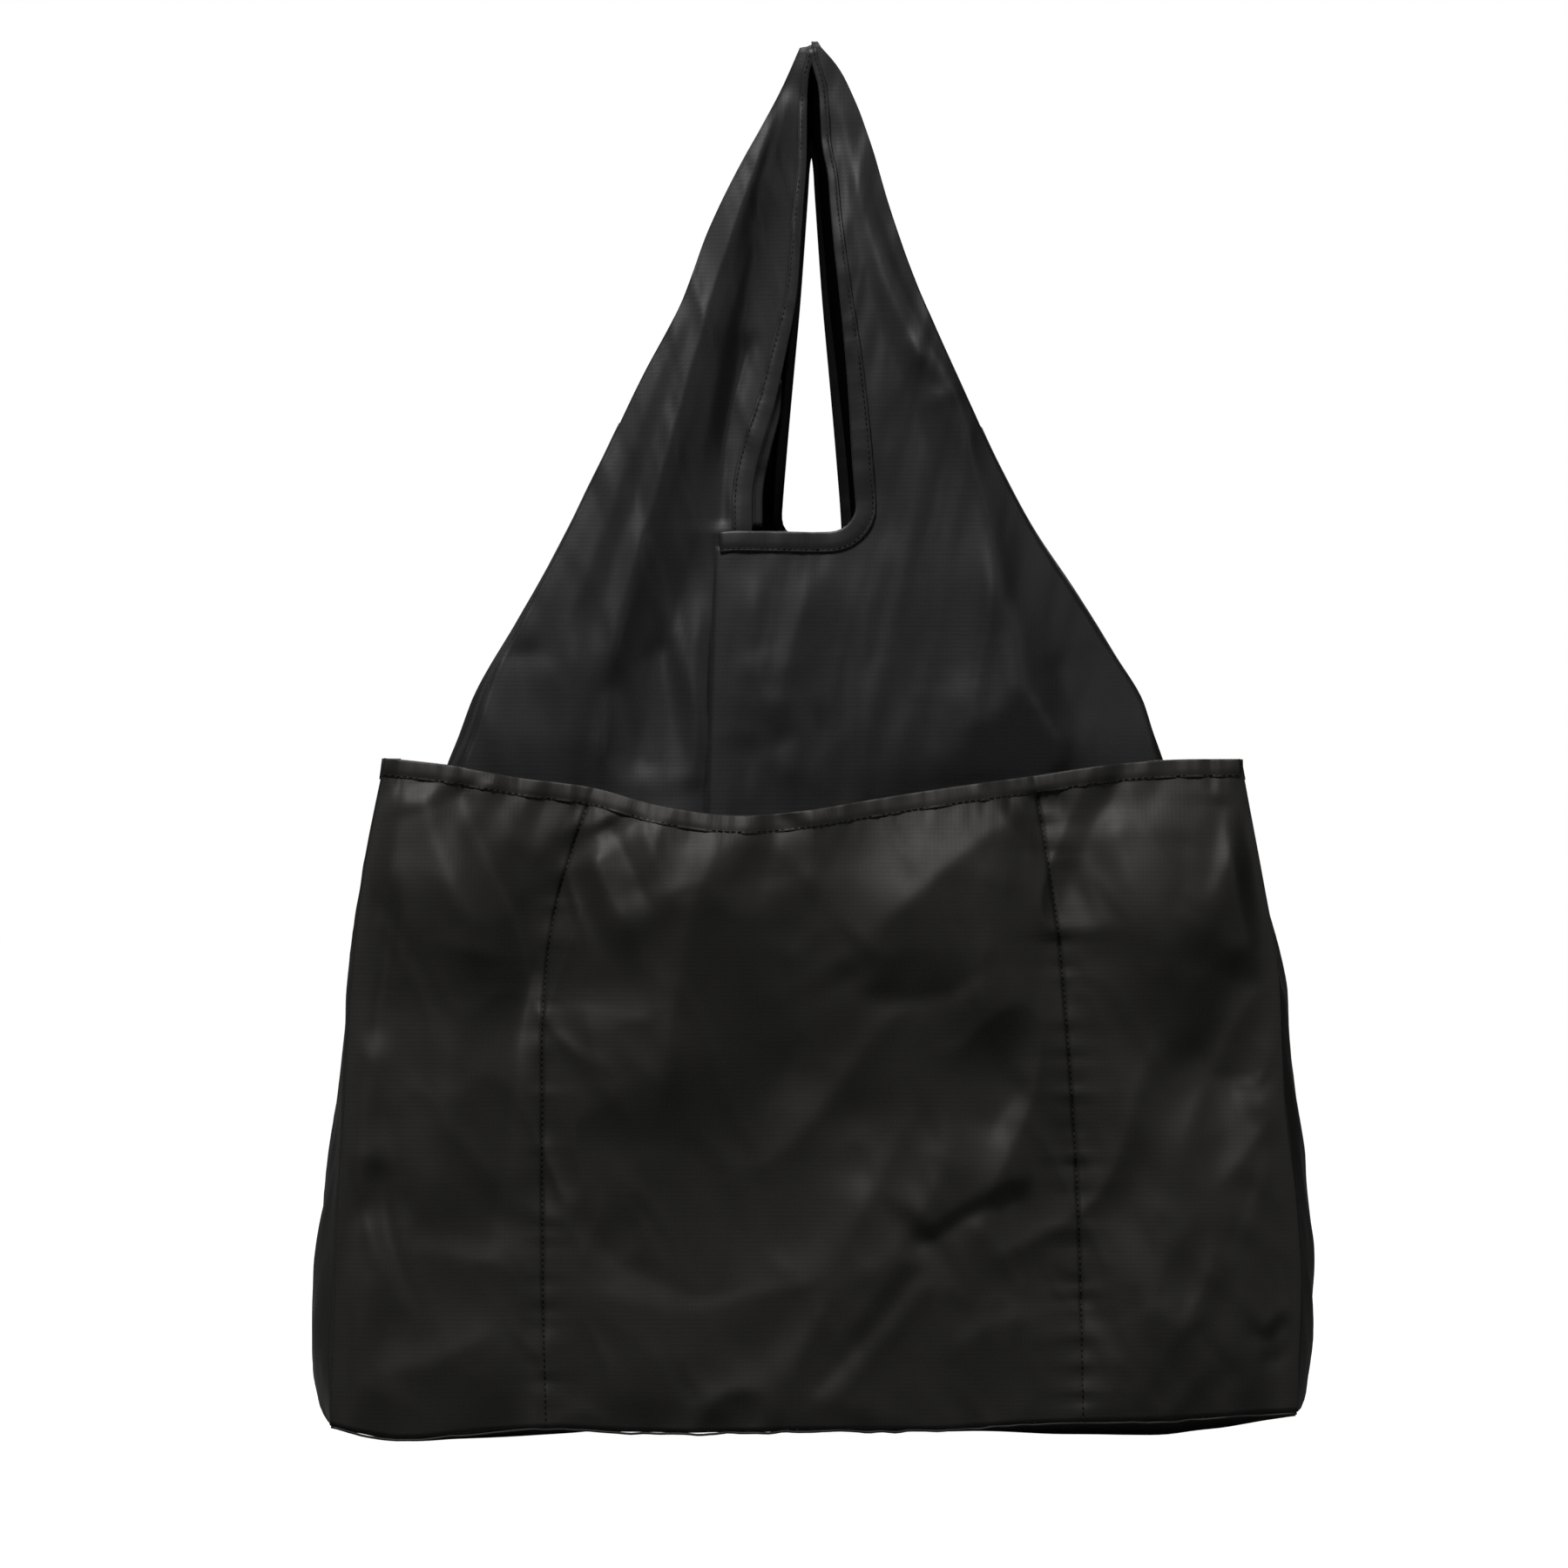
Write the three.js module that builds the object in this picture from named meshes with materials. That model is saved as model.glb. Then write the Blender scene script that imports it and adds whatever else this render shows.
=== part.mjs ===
// A foldable vest-style tote bag hung by its two handles on a thin rod.
// Millimetres. X runs across the bag, Y from front (-) to back (+), Z up.
// Heights in this file are measured up from the underside of the base;
// the finished group is then lowered so that the hang point is the origin.
import * as THREE from "three";

// ---- Driving dimensions ----
const HANG_HEIGHT = 706; // centre of the rod that carries the handles
const CLOTH = 1.2; // thickness of a single cloth wall
const DOUBLED = 2.2; // thickness of a hem or binding, where the cloth is folded over
const GAP = 0.3; // clearance between neighbouring pieces
const SEAM_EDGE = 11.8; // height at which the walls meet the base panel

// The front and back leaves lean together towards the rod.
const LEAF_HALF_GAP = 3; // half the distance between the leaves at the rod
const BASE_HALF_DEPTH = 64; // half the distance between the leaves at the base
const LEAF_SLOPE = (BASE_HALF_DEPTH - LEAF_HALF_GAP) / HANG_HEIGHT;

// The body cloth: half widths at three heights.
const BODY_FOOT_HALF_WIDTH = 236;
const BODY_WAIST_HALF_WIDTH = 182;
const WAIST_HEIGHT = 340;
const BODY_NECK_HALF_WIDTH = 124;
const NECK_HEIGHT = 449;

// The mouth between the handles, and the tape that binds its edge.
const BINDING_WIDTH = 10;
const MOUTH_FOOT_HALF_WIDTH = 26;
const MOUTH_CORNER_RADIUS = 9;

// The handles. Each turns about a pivot at its shoulder.
const PIVOT_X = 47;
const PIVOT_HEIGHT = 545;
const STRAP_HALF_WIDTH = 31;
const STRAP_INNER_SLOPE = 0.0935;
const STRAP_OUTER_SLOPE = 0.4138;
const SHOULDER_TOP = PIVOT_HEIGHT - STRAP_HALF_WIDTH - 0.5;
const SHOULDER_TOP_HALF_WIDTH = 90;
const MOUTH_TOP_HALF_WIDTH = 20;
const STRAP_HEM_WIDTH = 8;
const TOP_BINDING_WIDTH = 5;
const TOP_HEM_WIDTH = 4;
const FRONT_STRAP_TOP = 690;
const BACK_STRAP_TOP = 640;
const CROWN_BACK_END = 643.5;
const CROWN_BEND_STEPS = 8;

// The pocket band that goes all round the lower body.
const BAND_OFFSET = 12; // between a leaf and the pocket panel in front of it
const BAND_HEIGHT = 343; // at the corners
const BAND_SAG = 24; // how much lower the hem hangs in the middle
const BAND_TOP_HALF_WIDTH = 215;
const BAND_HEM = 9.5;
const HEM_STEPS = 12;

// The stitched seams that divide each pocket panel in three.
const DIVIDER_X = 136;
const DIVIDER_TOP_X = 112;
const DIVIDER_BEND_HEIGHT = 150;
const DIVIDER_WIDTH = 2;
const DIVIDER_STEPS = 8;

// The gussets and the base.
const GUSSET_TOP = 505;
const GUSSET_COLUMNS = [-1, -0.5, 0, 0.5, 1];
const BASE_HALF_WIDTH = 242;
const BASE_RIM_HALF_DEPTH = 75.5;
const BASE_RIM_HEIGHT = 10;
const BASE_FLAT_HALF_WIDTH = 200;
const BASE_FLAT_HALF_DEPTH = 45;

// ---- Materials ----
function cloth(color, roughness) {
  return new THREE.MeshStandardMaterial({ color, roughness, metalness: 0, side: THREE.DoubleSide });
}
const BODY_CLOTH = cloth(0x2b2b2c, 0.45);
const BAND_CLOTH = cloth(0x262524, 0.5);
const TAPE = cloth(0x232324, 0.6);
const THREAD = cloth(0x1a1a1a, 0.7);

// ---- The leaves, the mouth and the straps as functions of height ----
const FRONT = { name: "front", side: -1 };
const BACK = { name: "back", side: 1 };
const LEAVES = [FRONT, BACK];
const HANDS = [
  { name: "left", sign: -1 },
  { name: "right", sign: 1 },
];

function leafDepth(height) {
  return LEAF_HALF_GAP + (HANG_HEIGHT - height) * LEAF_SLOPE;
}

function strapInner(height) {
  return PIVOT_X - STRAP_HALF_WIDTH - (height - PIVOT_HEIGHT) * STRAP_INNER_SLOPE;
}

function strapOuter(height) {
  return PIVOT_X + STRAP_HALF_WIDTH - (height - PIVOT_HEIGHT) * STRAP_OUTER_SLOPE;
}

// A width that goes from one value at the pivot to another at the top of the front strap.
function strapWidth(atPivot, atTop, height) {
  const share = (height - PIVOT_HEIGHT) / (FRONT_STRAP_TOP - PIVOT_HEIGHT);
  return atPivot + (atTop - atPivot) * share;
}

function hemTop(x) {
  const share = x / BAND_TOP_HALF_WIDTH;
  return BAND_HEIGHT - BAND_SAG * (1 - share * share);
}

function dividerX(height) {
  const rise = Math.max(0, height - DIVIDER_BEND_HEIGHT);
  const share = rise / (hemTop(DIVIDER_TOP_X) - DIVIDER_BEND_HEIGHT);
  return DIVIDER_X - (DIVIDER_X - DIVIDER_TOP_X) * share * share;
}

// Half width of the pocket band, and how far its side walls bulge, at some heights.
const BAND_SIDE = [
  { height: SEAM_EDGE, half: 241, bulge: 3 },
  { height: 34, half: 243, bulge: 9 },
  { height: 80, half: 244, bulge: 12 },
  { height: 170, half: 238, bulge: 8 },
  { height: 250, half: 229, bulge: 4 },
  { height: BAND_HEIGHT - BAND_HEM - GAP, half: 216, bulge: 1 },
];

// The same for the body gussets inside the band and above it.
const BODY_SIDE = [
  { height: SEAM_EDGE, half: 236, bulge: 1 },
  { height: 90, half: 223, bulge: 4 },
  { height: 210, half: 203.5, bulge: 4 },
  { height: WAIST_HEIGHT, half: 182, bulge: 3 },
  { height: 400, half: 150, bulge: 2 },
  { height: NECK_HEIGHT, half: 124, bulge: 2 },
  { height: GUSSET_TOP, half: 94, bulge: 1 },
];

// ---- Building blocks ----
const bag = new THREE.Group();
const part = new THREE.Group();
part.position.z = -HANG_HEIGHT;
part.add(bag);

function addMesh(name, geometry, material) {
  const mesh = new THREE.Mesh(geometry, material);
  mesh.name = name;
  bag.add(mesh);
}

function outline(points) {
  return new THREE.Shape(points.map(([x, height]) => new THREE.Vector2(x, height)));
}

// Extrudes an outline drawn across the bag into a wall that lies in a leaf.
// offset moves the wall outwards, away from the inside of the bag.
function leafWall(shape, leaf, thickness, offset = 0) {
  const wall = new THREE.ExtrudeGeometry(shape, { depth: thickness, bevelEnabled: false, curveSegments: 10 });
  wall.translate(0, 0, -thickness / 2);
  const atBase = LEAF_HALF_GAP + HANG_HEIGHT * LEAF_SLOPE + offset;
  const lean = new THREE.Matrix4().set(
    1, 0, 0, 0,
    0, -leaf.side * LEAF_SLOPE, -1, leaf.side * atBase,
    0, 1, 0, 0,
    0, 0, 0, 1,
  );
  return wall.applyMatrix4(lean);
}

// Makes a closed slab from rows of points and a copy of them moved by a fixed vector.
// Rows whose first face would look along the move are turned round first.
function slab(givenRows, move) {
  const along = givenRows[1][0].clone().sub(givenRows[0][0]);
  const across = givenRows[0][1].clone().sub(givenRows[0][0]);
  const facesMove = along.cross(across).dot(move) > 0;
  const rows = facesMove ? givenRows.map((row) => [...row].reverse()) : givenRows;
  const height = rows.length;
  const width = rows[0].length;
  const near = rows.flat();
  const far = near.map((point) => point.clone().add(move));
  const positions = [...near, ...far].flatMap((point) => [point.x, point.y, point.z]);
  const index = [];
  const at = (row, column, layer) => layer * height * width + row * width + column;
  const quad = (a, b, c, d) => index.push(a, b, c, a, c, d);
  for (let row = 0; row + 1 < height; row += 1) {
    for (let column = 0; column + 1 < width; column += 1) {
      quad(at(row, column, 0), at(row + 1, column, 0), at(row + 1, column + 1, 0), at(row, column + 1, 0));
      quad(at(row, column, 1), at(row, column + 1, 1), at(row + 1, column + 1, 1), at(row + 1, column, 1));
    }
    quad(at(row, 0, 0), at(row, 0, 1), at(row + 1, 0, 1), at(row + 1, 0, 0));
    quad(at(row, width - 1, 0), at(row + 1, width - 1, 0), at(row + 1, width - 1, 1), at(row, width - 1, 1));
  }
  for (let column = 0; column + 1 < width; column += 1) {
    quad(at(0, column, 0), at(0, column + 1, 0), at(0, column + 1, 1), at(0, column, 1));
    const last = height - 1;
    quad(at(last, column, 0), at(last, column, 1), at(last, column + 1, 1), at(last, column + 1, 0));
  }
  const geometry = new THREE.BufferGeometry();
  geometry.setAttribute("position", new THREE.Float32BufferAttribute(positions, 3));
  geometry.setIndex(index);
  geometry.computeVertexNormals();
  return geometry;
}

// A wall at the left or right side: rows of {height, half, bulge}, out to a half depth.
function sideWall(rows, hand, halfDepth, thickness) {
  const points = rows.map(({ height, half, bulge }) =>
    GUSSET_COLUMNS.map((share) => {
      const x = hand.sign * (half + bulge * (1 - share * share));
      return new THREE.Vector3(x, share * halfDepth(height), height);
    }),
  );
  return slab(points, new THREE.Vector3(hand.sign * thickness, 0, 0));
}

// ---- Body cloth ----
function bodyPanel(leaf) {
  const right = [
    [BODY_FOOT_HALF_WIDTH, SEAM_EDGE],
    [BODY_WAIST_HALF_WIDTH, WAIST_HEIGHT],
    [BODY_NECK_HALF_WIDTH, NECK_HEIGHT - GAP],
  ];
  const left = right.map(([x, height]) => [-x, height]).reverse();
  addMesh(`${leaf.name}_panel`, leafWall(outline([...right, ...left]), leaf, CLOTH), BODY_CLOTH);
}

function shoulder(leaf, hand) {
  const inner = BINDING_WIDTH + GAP;
  const points = [
    [BODY_NECK_HALF_WIDTH, NECK_HEIGHT],
    [SHOULDER_TOP_HALF_WIDTH, SHOULDER_TOP],
    [MOUTH_TOP_HALF_WIDTH + inner, SHOULDER_TOP],
    [MOUTH_FOOT_HALF_WIDTH + inner, NECK_HEIGHT + MOUTH_CORNER_RADIUS + BINDING_WIDTH],
    [MOUTH_FOOT_HALF_WIDTH + inner, NECK_HEIGHT],
  ].map(([x, height]) => [hand.sign * x, height]);
  addMesh(`${leaf.name}_shoulder_${hand.name}`, leafWall(outline(points), leaf, CLOTH), BODY_CLOTH);
}

// The tape along the bottom of the mouth and up to the foot of each strap.
function neckBinding(leaf) {
  const shape = new THREE.Shape();
  const outerFoot = MOUTH_FOOT_HALF_WIDTH + BINDING_WIDTH;
  const outerTop = MOUTH_TOP_HALF_WIDTH + BINDING_WIDTH;
  const innerFloor = NECK_HEIGHT + BINDING_WIDTH;
  const outerRadius = MOUTH_CORNER_RADIUS + BINDING_WIDTH;
  shape.moveTo(-outerTop, SHOULDER_TOP);
  shape.lineTo(-outerFoot, NECK_HEIGHT + outerRadius);
  shape.quadraticCurveTo(-outerFoot, NECK_HEIGHT, outerRadius - outerFoot, NECK_HEIGHT);
  shape.lineTo(outerFoot - outerRadius, NECK_HEIGHT);
  shape.quadraticCurveTo(outerFoot, NECK_HEIGHT, outerFoot, NECK_HEIGHT + outerRadius);
  shape.lineTo(outerTop, SHOULDER_TOP);
  shape.lineTo(MOUTH_TOP_HALF_WIDTH, SHOULDER_TOP);
  shape.lineTo(MOUTH_FOOT_HALF_WIDTH, innerFloor + MOUTH_CORNER_RADIUS);
  shape.quadraticCurveTo(
    MOUTH_FOOT_HALF_WIDTH, innerFloor,
    MOUTH_FOOT_HALF_WIDTH - MOUTH_CORNER_RADIUS, innerFloor,
  );
  shape.lineTo(MOUTH_CORNER_RADIUS - MOUTH_FOOT_HALF_WIDTH, innerFloor);
  shape.quadraticCurveTo(
    -MOUTH_FOOT_HALF_WIDTH, innerFloor,
    -MOUTH_FOOT_HALF_WIDTH, innerFloor + MOUTH_CORNER_RADIUS,
  );
  shape.lineTo(-MOUTH_TOP_HALF_WIDTH, SHOULDER_TOP);
  addMesh(`${leaf.name}_neck_binding`, leafWall(shape, leaf, DOUBLED), TAPE);
}

function gusset(hand) {
  const halfDepth = (height) => leafDepth(height) - CLOTH / 2 - GAP;
  addMesh(`gusset_${hand.name}`, sideWall(BODY_SIDE, hand, halfDepth, CLOTH), BODY_CLOTH);
}

// The hem along the bottom of each armhole, on top of the gusset.
function underarmHem(hand) {
  const foot = GUSSET_TOP + GAP;
  const rows = [
    { height: foot, half: 94, bulge: 1 },
    { height: foot + STRAP_HEM_WIDTH, half: 90, bulge: 1 },
  ];
  const halfDepth = (height) => leafDepth(height) - CLOTH / 2 - GAP;
  addMesh(`underarm_hem_${hand.name}`, sideWall(rows, hand, halfDepth, DOUBLED), TAPE);
}

function basePanel() {
  const across = [-BASE_HALF_WIDTH, -BASE_FLAT_HALF_WIDTH, BASE_FLAT_HALF_WIDTH, BASE_HALF_WIDTH];
  const deep = [-BASE_RIM_HALF_DEPTH, -BASE_FLAT_HALF_DEPTH, BASE_FLAT_HALF_DEPTH, BASE_RIM_HALF_DEPTH];
  const rows = across.map((x) =>
    deep.map((y) => {
      const flat = Math.abs(x) <= BASE_FLAT_HALF_WIDTH && Math.abs(y) <= BASE_FLAT_HALF_DEPTH;
      return new THREE.Vector3(x, y, flat ? 0 : BASE_RIM_HEIGHT);
    }),
  );
  addMesh("base_panel", slab(rows, new THREE.Vector3(0, 0, CLOTH)), BODY_CLOTH);
}

// ---- Handles ----
function strap(leaf, hand, top) {
  const pivot = hand.sign * PIVOT_X;
  const hemEdge = (height) => strapOuter(height) - strapWidth(STRAP_HEM_WIDTH, TOP_HEM_WIDTH, height);
  const bindingEdge = (height) => strapInner(height) + strapWidth(BINDING_WIDTH, TOP_BINDING_WIDTH, height);
  const plate = new THREE.Shape();
  plate.moveTo(hand.sign * (hemEdge(PIVOT_HEIGHT) - GAP), PIVOT_HEIGHT);
  plate.lineTo(pivot + hand.sign * STRAP_HALF_WIDTH, PIVOT_HEIGHT);
  const start = hand.sign > 0 ? 0 : Math.PI;
  plate.absarc(pivot, PIVOT_HEIGHT, STRAP_HALF_WIDTH, start, start + hand.sign * -Math.PI, hand.sign > 0);
  plate.lineTo(hand.sign * (bindingEdge(PIVOT_HEIGHT) + GAP), PIVOT_HEIGHT);
  plate.lineTo(hand.sign * (bindingEdge(top) + GAP), top);
  plate.lineTo(hand.sign * (hemEdge(top) - GAP), top);
  addMesh(`${leaf.name}_strap_${hand.name}`, leafWall(plate, leaf, CLOTH), BODY_CLOTH);

  const foot = PIVOT_HEIGHT + GAP;
  const edging = (inner, outer) =>
    outline([
      [hand.sign * inner(foot), foot],
      [hand.sign * outer(foot), foot],
      [hand.sign * outer(top), top],
      [hand.sign * inner(top), top],
    ]);
  const binding = leafWall(edging(strapInner, bindingEdge), leaf, DOUBLED);
  addMesh(`${leaf.name}_strap_binding_${hand.name}`, binding, TAPE);
  const hem = leafWall(edging(hemEdge, strapOuter), leaf, DOUBLED);
  addMesh(`${leaf.name}_strap_hem_${hand.name}`, hem, TAPE);
}

// The top of a handle, bent over the rod, with its longer leg at the back.
function crown(hand) {
  const wall = new THREE.Shape();
  const half = CLOTH / 2;
  const frontEnd = FRONT_STRAP_TOP + GAP;
  wall.moveTo(-leafDepth(frontEnd) - half, frontEnd);
  wall.lineTo(-leafDepth(frontEnd) + half, frontEnd);
  wall.lineTo(half - LEAF_HALF_GAP, HANG_HEIGHT);
  wall.absarc(0, HANG_HEIGHT, LEAF_HALF_GAP - half, Math.PI, 0, true);
  wall.lineTo(leafDepth(CROWN_BACK_END) - half, CROWN_BACK_END);
  wall.lineTo(leafDepth(CROWN_BACK_END) + half, CROWN_BACK_END);
  wall.lineTo(LEAF_HALF_GAP + half, HANG_HEIGHT);
  wall.absarc(0, HANG_HEIGHT, LEAF_HALF_GAP + half, 0, Math.PI, false);
  const options = { depth: 1, bevelEnabled: false, curveSegments: CROWN_BEND_STEPS };
  const geometry = new THREE.ExtrudeGeometry(wall, options);
  const position = geometry.getAttribute("position");
  for (let i = 0; i < position.count; i += 1) {
    const y = position.getX(i);
    const height = position.getY(i);
    const across = hand.sign > 0 ? position.getZ(i) : 1 - position.getZ(i);
    const x = strapInner(height) + across * (strapOuter(height) - strapInner(height));
    position.setXYZ(i, hand.sign * x, y, height);
  }
  geometry.computeVertexNormals();
  addMesh(`handle_crown_${hand.name}`, geometry, BODY_CLOTH);
}

// ---- Pocket band ----
// The points of a line along the top of the band, lowered by drop.
function hemLine(halfWidth, drop) {
  const points = [];
  for (let step = 0; step <= HEM_STEPS; step += 1) {
    const x = halfWidth * (1 - (2 * step) / HEM_STEPS);
    points.push([x, hemTop(x) - drop]);
  }
  return points;
}

function pocketPanel(leaf) {
  const right = BAND_SIDE.slice(0, -1).map(({ height, half }) => [half, height]);
  const left = right.map(([x, height]) => [-x, height]).reverse();
  const top = hemLine(BAND_TOP_HALF_WIDTH, BAND_HEM + GAP);
  const shape = outline([...right, ...top, ...left]);
  addMesh(`${leaf.name}_pocket_panel`, leafWall(shape, leaf, CLOTH, BAND_OFFSET), BAND_CLOTH);
}

function pocketHem(leaf) {
  const top = hemLine(BAND_TOP_HALF_WIDTH, 0);
  const foot = hemLine(BAND_TOP_HALF_WIDTH, BAND_HEM).reverse();
  const shape = outline([...foot, ...top]);
  addMesh(`${leaf.name}_pocket_hem`, leafWall(shape, leaf, DOUBLED, BAND_OFFSET), BAND_CLOTH);
}

function sidePocket(hand) {
  const halfDepth = (height) => leafDepth(height) + BAND_OFFSET - CLOTH / 2 - GAP;
  addMesh(`side_pocket_${hand.name}`, sideWall(BAND_SIDE, hand, halfDepth, CLOTH), BAND_CLOTH);
}

function sidePocketHem(hand) {
  const rows = [
    { height: BAND_HEIGHT - BAND_HEM, half: 215.5, bulge: 0.5 },
    { height: BAND_HEIGHT, half: BAND_TOP_HALF_WIDTH, bulge: 0 },
  ];
  const halfDepth = (height) => leafDepth(height) + BAND_OFFSET - DOUBLED / 2 - GAP;
  addMesh(`side_pocket_hem_${hand.name}`, sideWall(rows, hand, halfDepth, DOUBLED), BAND_CLOTH);
}

// A stitched seam that holds the pocket panel to the body cloth behind it.
function divider(leaf, hand) {
  const rows = [];
  for (let step = 0; step <= DIVIDER_STEPS; step += 1) {
    const top = hemTop(DIVIDER_TOP_X) - BAND_HEM;
    const height = SEAM_EDGE + ((top - SEAM_EDGE) * step) / DIVIDER_STEPS;
    const inner = leafDepth(height) + CLOTH / 2 + GAP;
    const outer = inner + BAND_OFFSET - CLOTH - 2 * GAP;
    const x = hand.sign * dividerX(height) - DIVIDER_WIDTH / 2;
    rows.push([inner, outer].map((depth) => new THREE.Vector3(x, leaf.side * depth, height)));
  }
  const geometry = slab(rows, new THREE.Vector3(DIVIDER_WIDTH, 0, 0));
  addMesh(`${leaf.name}_pocket_divider_${hand.name}`, geometry, THREAD);
}

// ---- Assembly ----
for (const leaf of LEAVES) {
  bodyPanel(leaf);
  neckBinding(leaf);
  pocketPanel(leaf);
  pocketHem(leaf);
  for (const hand of HANDS) {
    shoulder(leaf, hand);
    strap(leaf, hand, leaf === FRONT ? FRONT_STRAP_TOP : BACK_STRAP_TOP);
    divider(leaf, hand);
  }
}
for (const hand of HANDS) {
  crown(hand);
  gusset(hand);
  underarmHem(hand);
  sidePocket(hand);
  sidePocketHem(hand);
}
basePanel();

export default part;
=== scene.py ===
"""The looks of a foldable tote bag that hangs by its two handles: cloth, tapes, stitches, stage and camera.

Lengths are in millimetres until a mesh is made. x runs across the bag, h is the height above the underside of
the base, and out is how far the cloth stands out from the plane of its leaf, away from the inside of the bag.
"""

import math

import bmesh
import bpy
import numpy as np
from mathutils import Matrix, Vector


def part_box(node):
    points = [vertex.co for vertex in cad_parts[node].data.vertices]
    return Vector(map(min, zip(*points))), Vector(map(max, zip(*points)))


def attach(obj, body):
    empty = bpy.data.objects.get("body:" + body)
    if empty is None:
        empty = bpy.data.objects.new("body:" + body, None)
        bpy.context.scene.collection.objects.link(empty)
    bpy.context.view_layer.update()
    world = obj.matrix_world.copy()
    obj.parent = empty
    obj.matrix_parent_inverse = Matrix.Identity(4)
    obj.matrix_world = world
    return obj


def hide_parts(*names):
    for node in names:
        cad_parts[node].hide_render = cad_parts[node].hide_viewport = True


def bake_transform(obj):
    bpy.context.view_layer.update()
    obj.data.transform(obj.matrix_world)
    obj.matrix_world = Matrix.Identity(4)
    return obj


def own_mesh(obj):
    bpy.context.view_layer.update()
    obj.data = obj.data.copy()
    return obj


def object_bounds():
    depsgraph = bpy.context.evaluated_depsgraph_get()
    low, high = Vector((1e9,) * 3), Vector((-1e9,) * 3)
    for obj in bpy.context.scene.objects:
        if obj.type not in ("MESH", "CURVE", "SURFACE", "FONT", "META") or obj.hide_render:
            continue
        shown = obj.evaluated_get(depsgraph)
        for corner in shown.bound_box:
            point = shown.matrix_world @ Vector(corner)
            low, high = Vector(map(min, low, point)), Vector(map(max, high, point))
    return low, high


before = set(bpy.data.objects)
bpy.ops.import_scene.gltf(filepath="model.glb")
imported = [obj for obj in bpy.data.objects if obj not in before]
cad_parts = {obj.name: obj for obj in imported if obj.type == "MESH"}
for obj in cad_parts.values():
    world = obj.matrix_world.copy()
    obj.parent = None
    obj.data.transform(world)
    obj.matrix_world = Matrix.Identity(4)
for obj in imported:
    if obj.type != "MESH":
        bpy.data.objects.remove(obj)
CAD_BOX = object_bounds()

MM = 0.001
BASE_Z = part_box("base_panel")[0].z
ROD_H = -BASE_Z / MM
PLATE = 1.2  # thickness of a plate in the frame
CLOTH = 0.45  # thickness of the cloth
CLOTH_FOOT = 20.0  # how far down the body cloth is made, behind the band
ROW_STEP = 3.0  # between the rows of the body cloth's grids
BAND_COLUMNS = (60, 140, 60)  # in the band's left, centre and right pockets
CREASE_ROUNDING = 2.4  # how round the crest of a fold is
FOLD_REACH = 1.45  # how far a fold's flanks reach, against its half width
WAVE_BANDS = 20  # bands of a wave texture in one unit, over 2 pi


# ---- Leaves, curves and folds ----
class Leaf:
    """The front or back of the bag: a plane that leans towards the rod."""

    def __init__(self, name, side):
        self.name, self.side = name, side
        self.body = f"{name}_leaf"
        low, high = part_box(f"{name}_panel")
        ys = sorted((abs(low.y), abs(high.y)))
        top, foot = ys[0] / MM + PLATE / 2, ys[1] / MM - PLATE / 2
        self.slope = (foot - top) / ((high.z - low.z) / MM)
        self.at_rod = top + high.z / MM * self.slope
        pocket_low, pocket_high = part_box(f"{name}_pocket_panel")
        foot_y = max(abs(pocket_low.y), abs(pocket_high.y)) / MM - PLATE / 2
        self.band = foot_y - self.depth((pocket_low.z - BASE_Z) / MM)

    def depth(self, h):
        """Distance of the leaf's plane from the middle of the bag."""
        return self.at_rod + (ROD_H - h) * self.slope

    def place(self, x, h, out):
        """Points in the frame, in metres."""
        x, h, out = np.broadcast_arrays(x, h, out)
        y = self.side * (self.depth(h) + out)
        return np.stack([x * MM, y * MM, BASE_Z + h * MM], axis=-1)


FRONT = Leaf("front", -1)
BACK = Leaf("back", 1)


def curve(*points):
    """A smooth function through (at, value) points."""
    t, v = np.array(points, float).T
    slope = np.gradient(v, t)

    def value(s):
        s = np.clip(s, t[0], t[-1])
        i = np.clip(np.searchsorted(t, s, "right") - 1, 0, len(t) - 2)
        gap = t[i + 1] - t[i]
        u = (s - t[i]) / gap
        start = (2 * u**3 - 3 * u**2 + 1) * v[i] + (u**3 - 2 * u**2 + u) * gap * slope[i]
        end = (3 * u**2 - 2 * u**3) * v[i + 1] + (u**3 - u**2) * gap * slope[i + 1]
        return start + end

    return value


def smooth(u):
    u = np.clip(u, 0, 1)
    return u * u * (3 - 2 * u)


def ripple(x, h, size_x, size_h, seed):
    """Smooth random waves between -1 and 1, of about these sizes."""
    cells = 64
    grid = np.random.RandomState(seed).uniform(-1, 1, (cells, cells))
    a, b = np.asarray(x) / size_x + cells / 2, np.asarray(h) / size_h + cells / 2
    i, j = np.floor(a).astype(int), np.floor(b).astype(int)
    u, w = smooth(a - i), smooth(b - j)
    i0, i1, j0, j1 = i % cells, (i + 1) % cells, j % cells, (j + 1) % cells
    low = grid[i0, j0] * (1 - u) + grid[i1, j0] * u
    high = grid[i0, j1] * (1 - u) + grid[i1, j1] * u
    return low * (1 - w) + high * w


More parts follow.
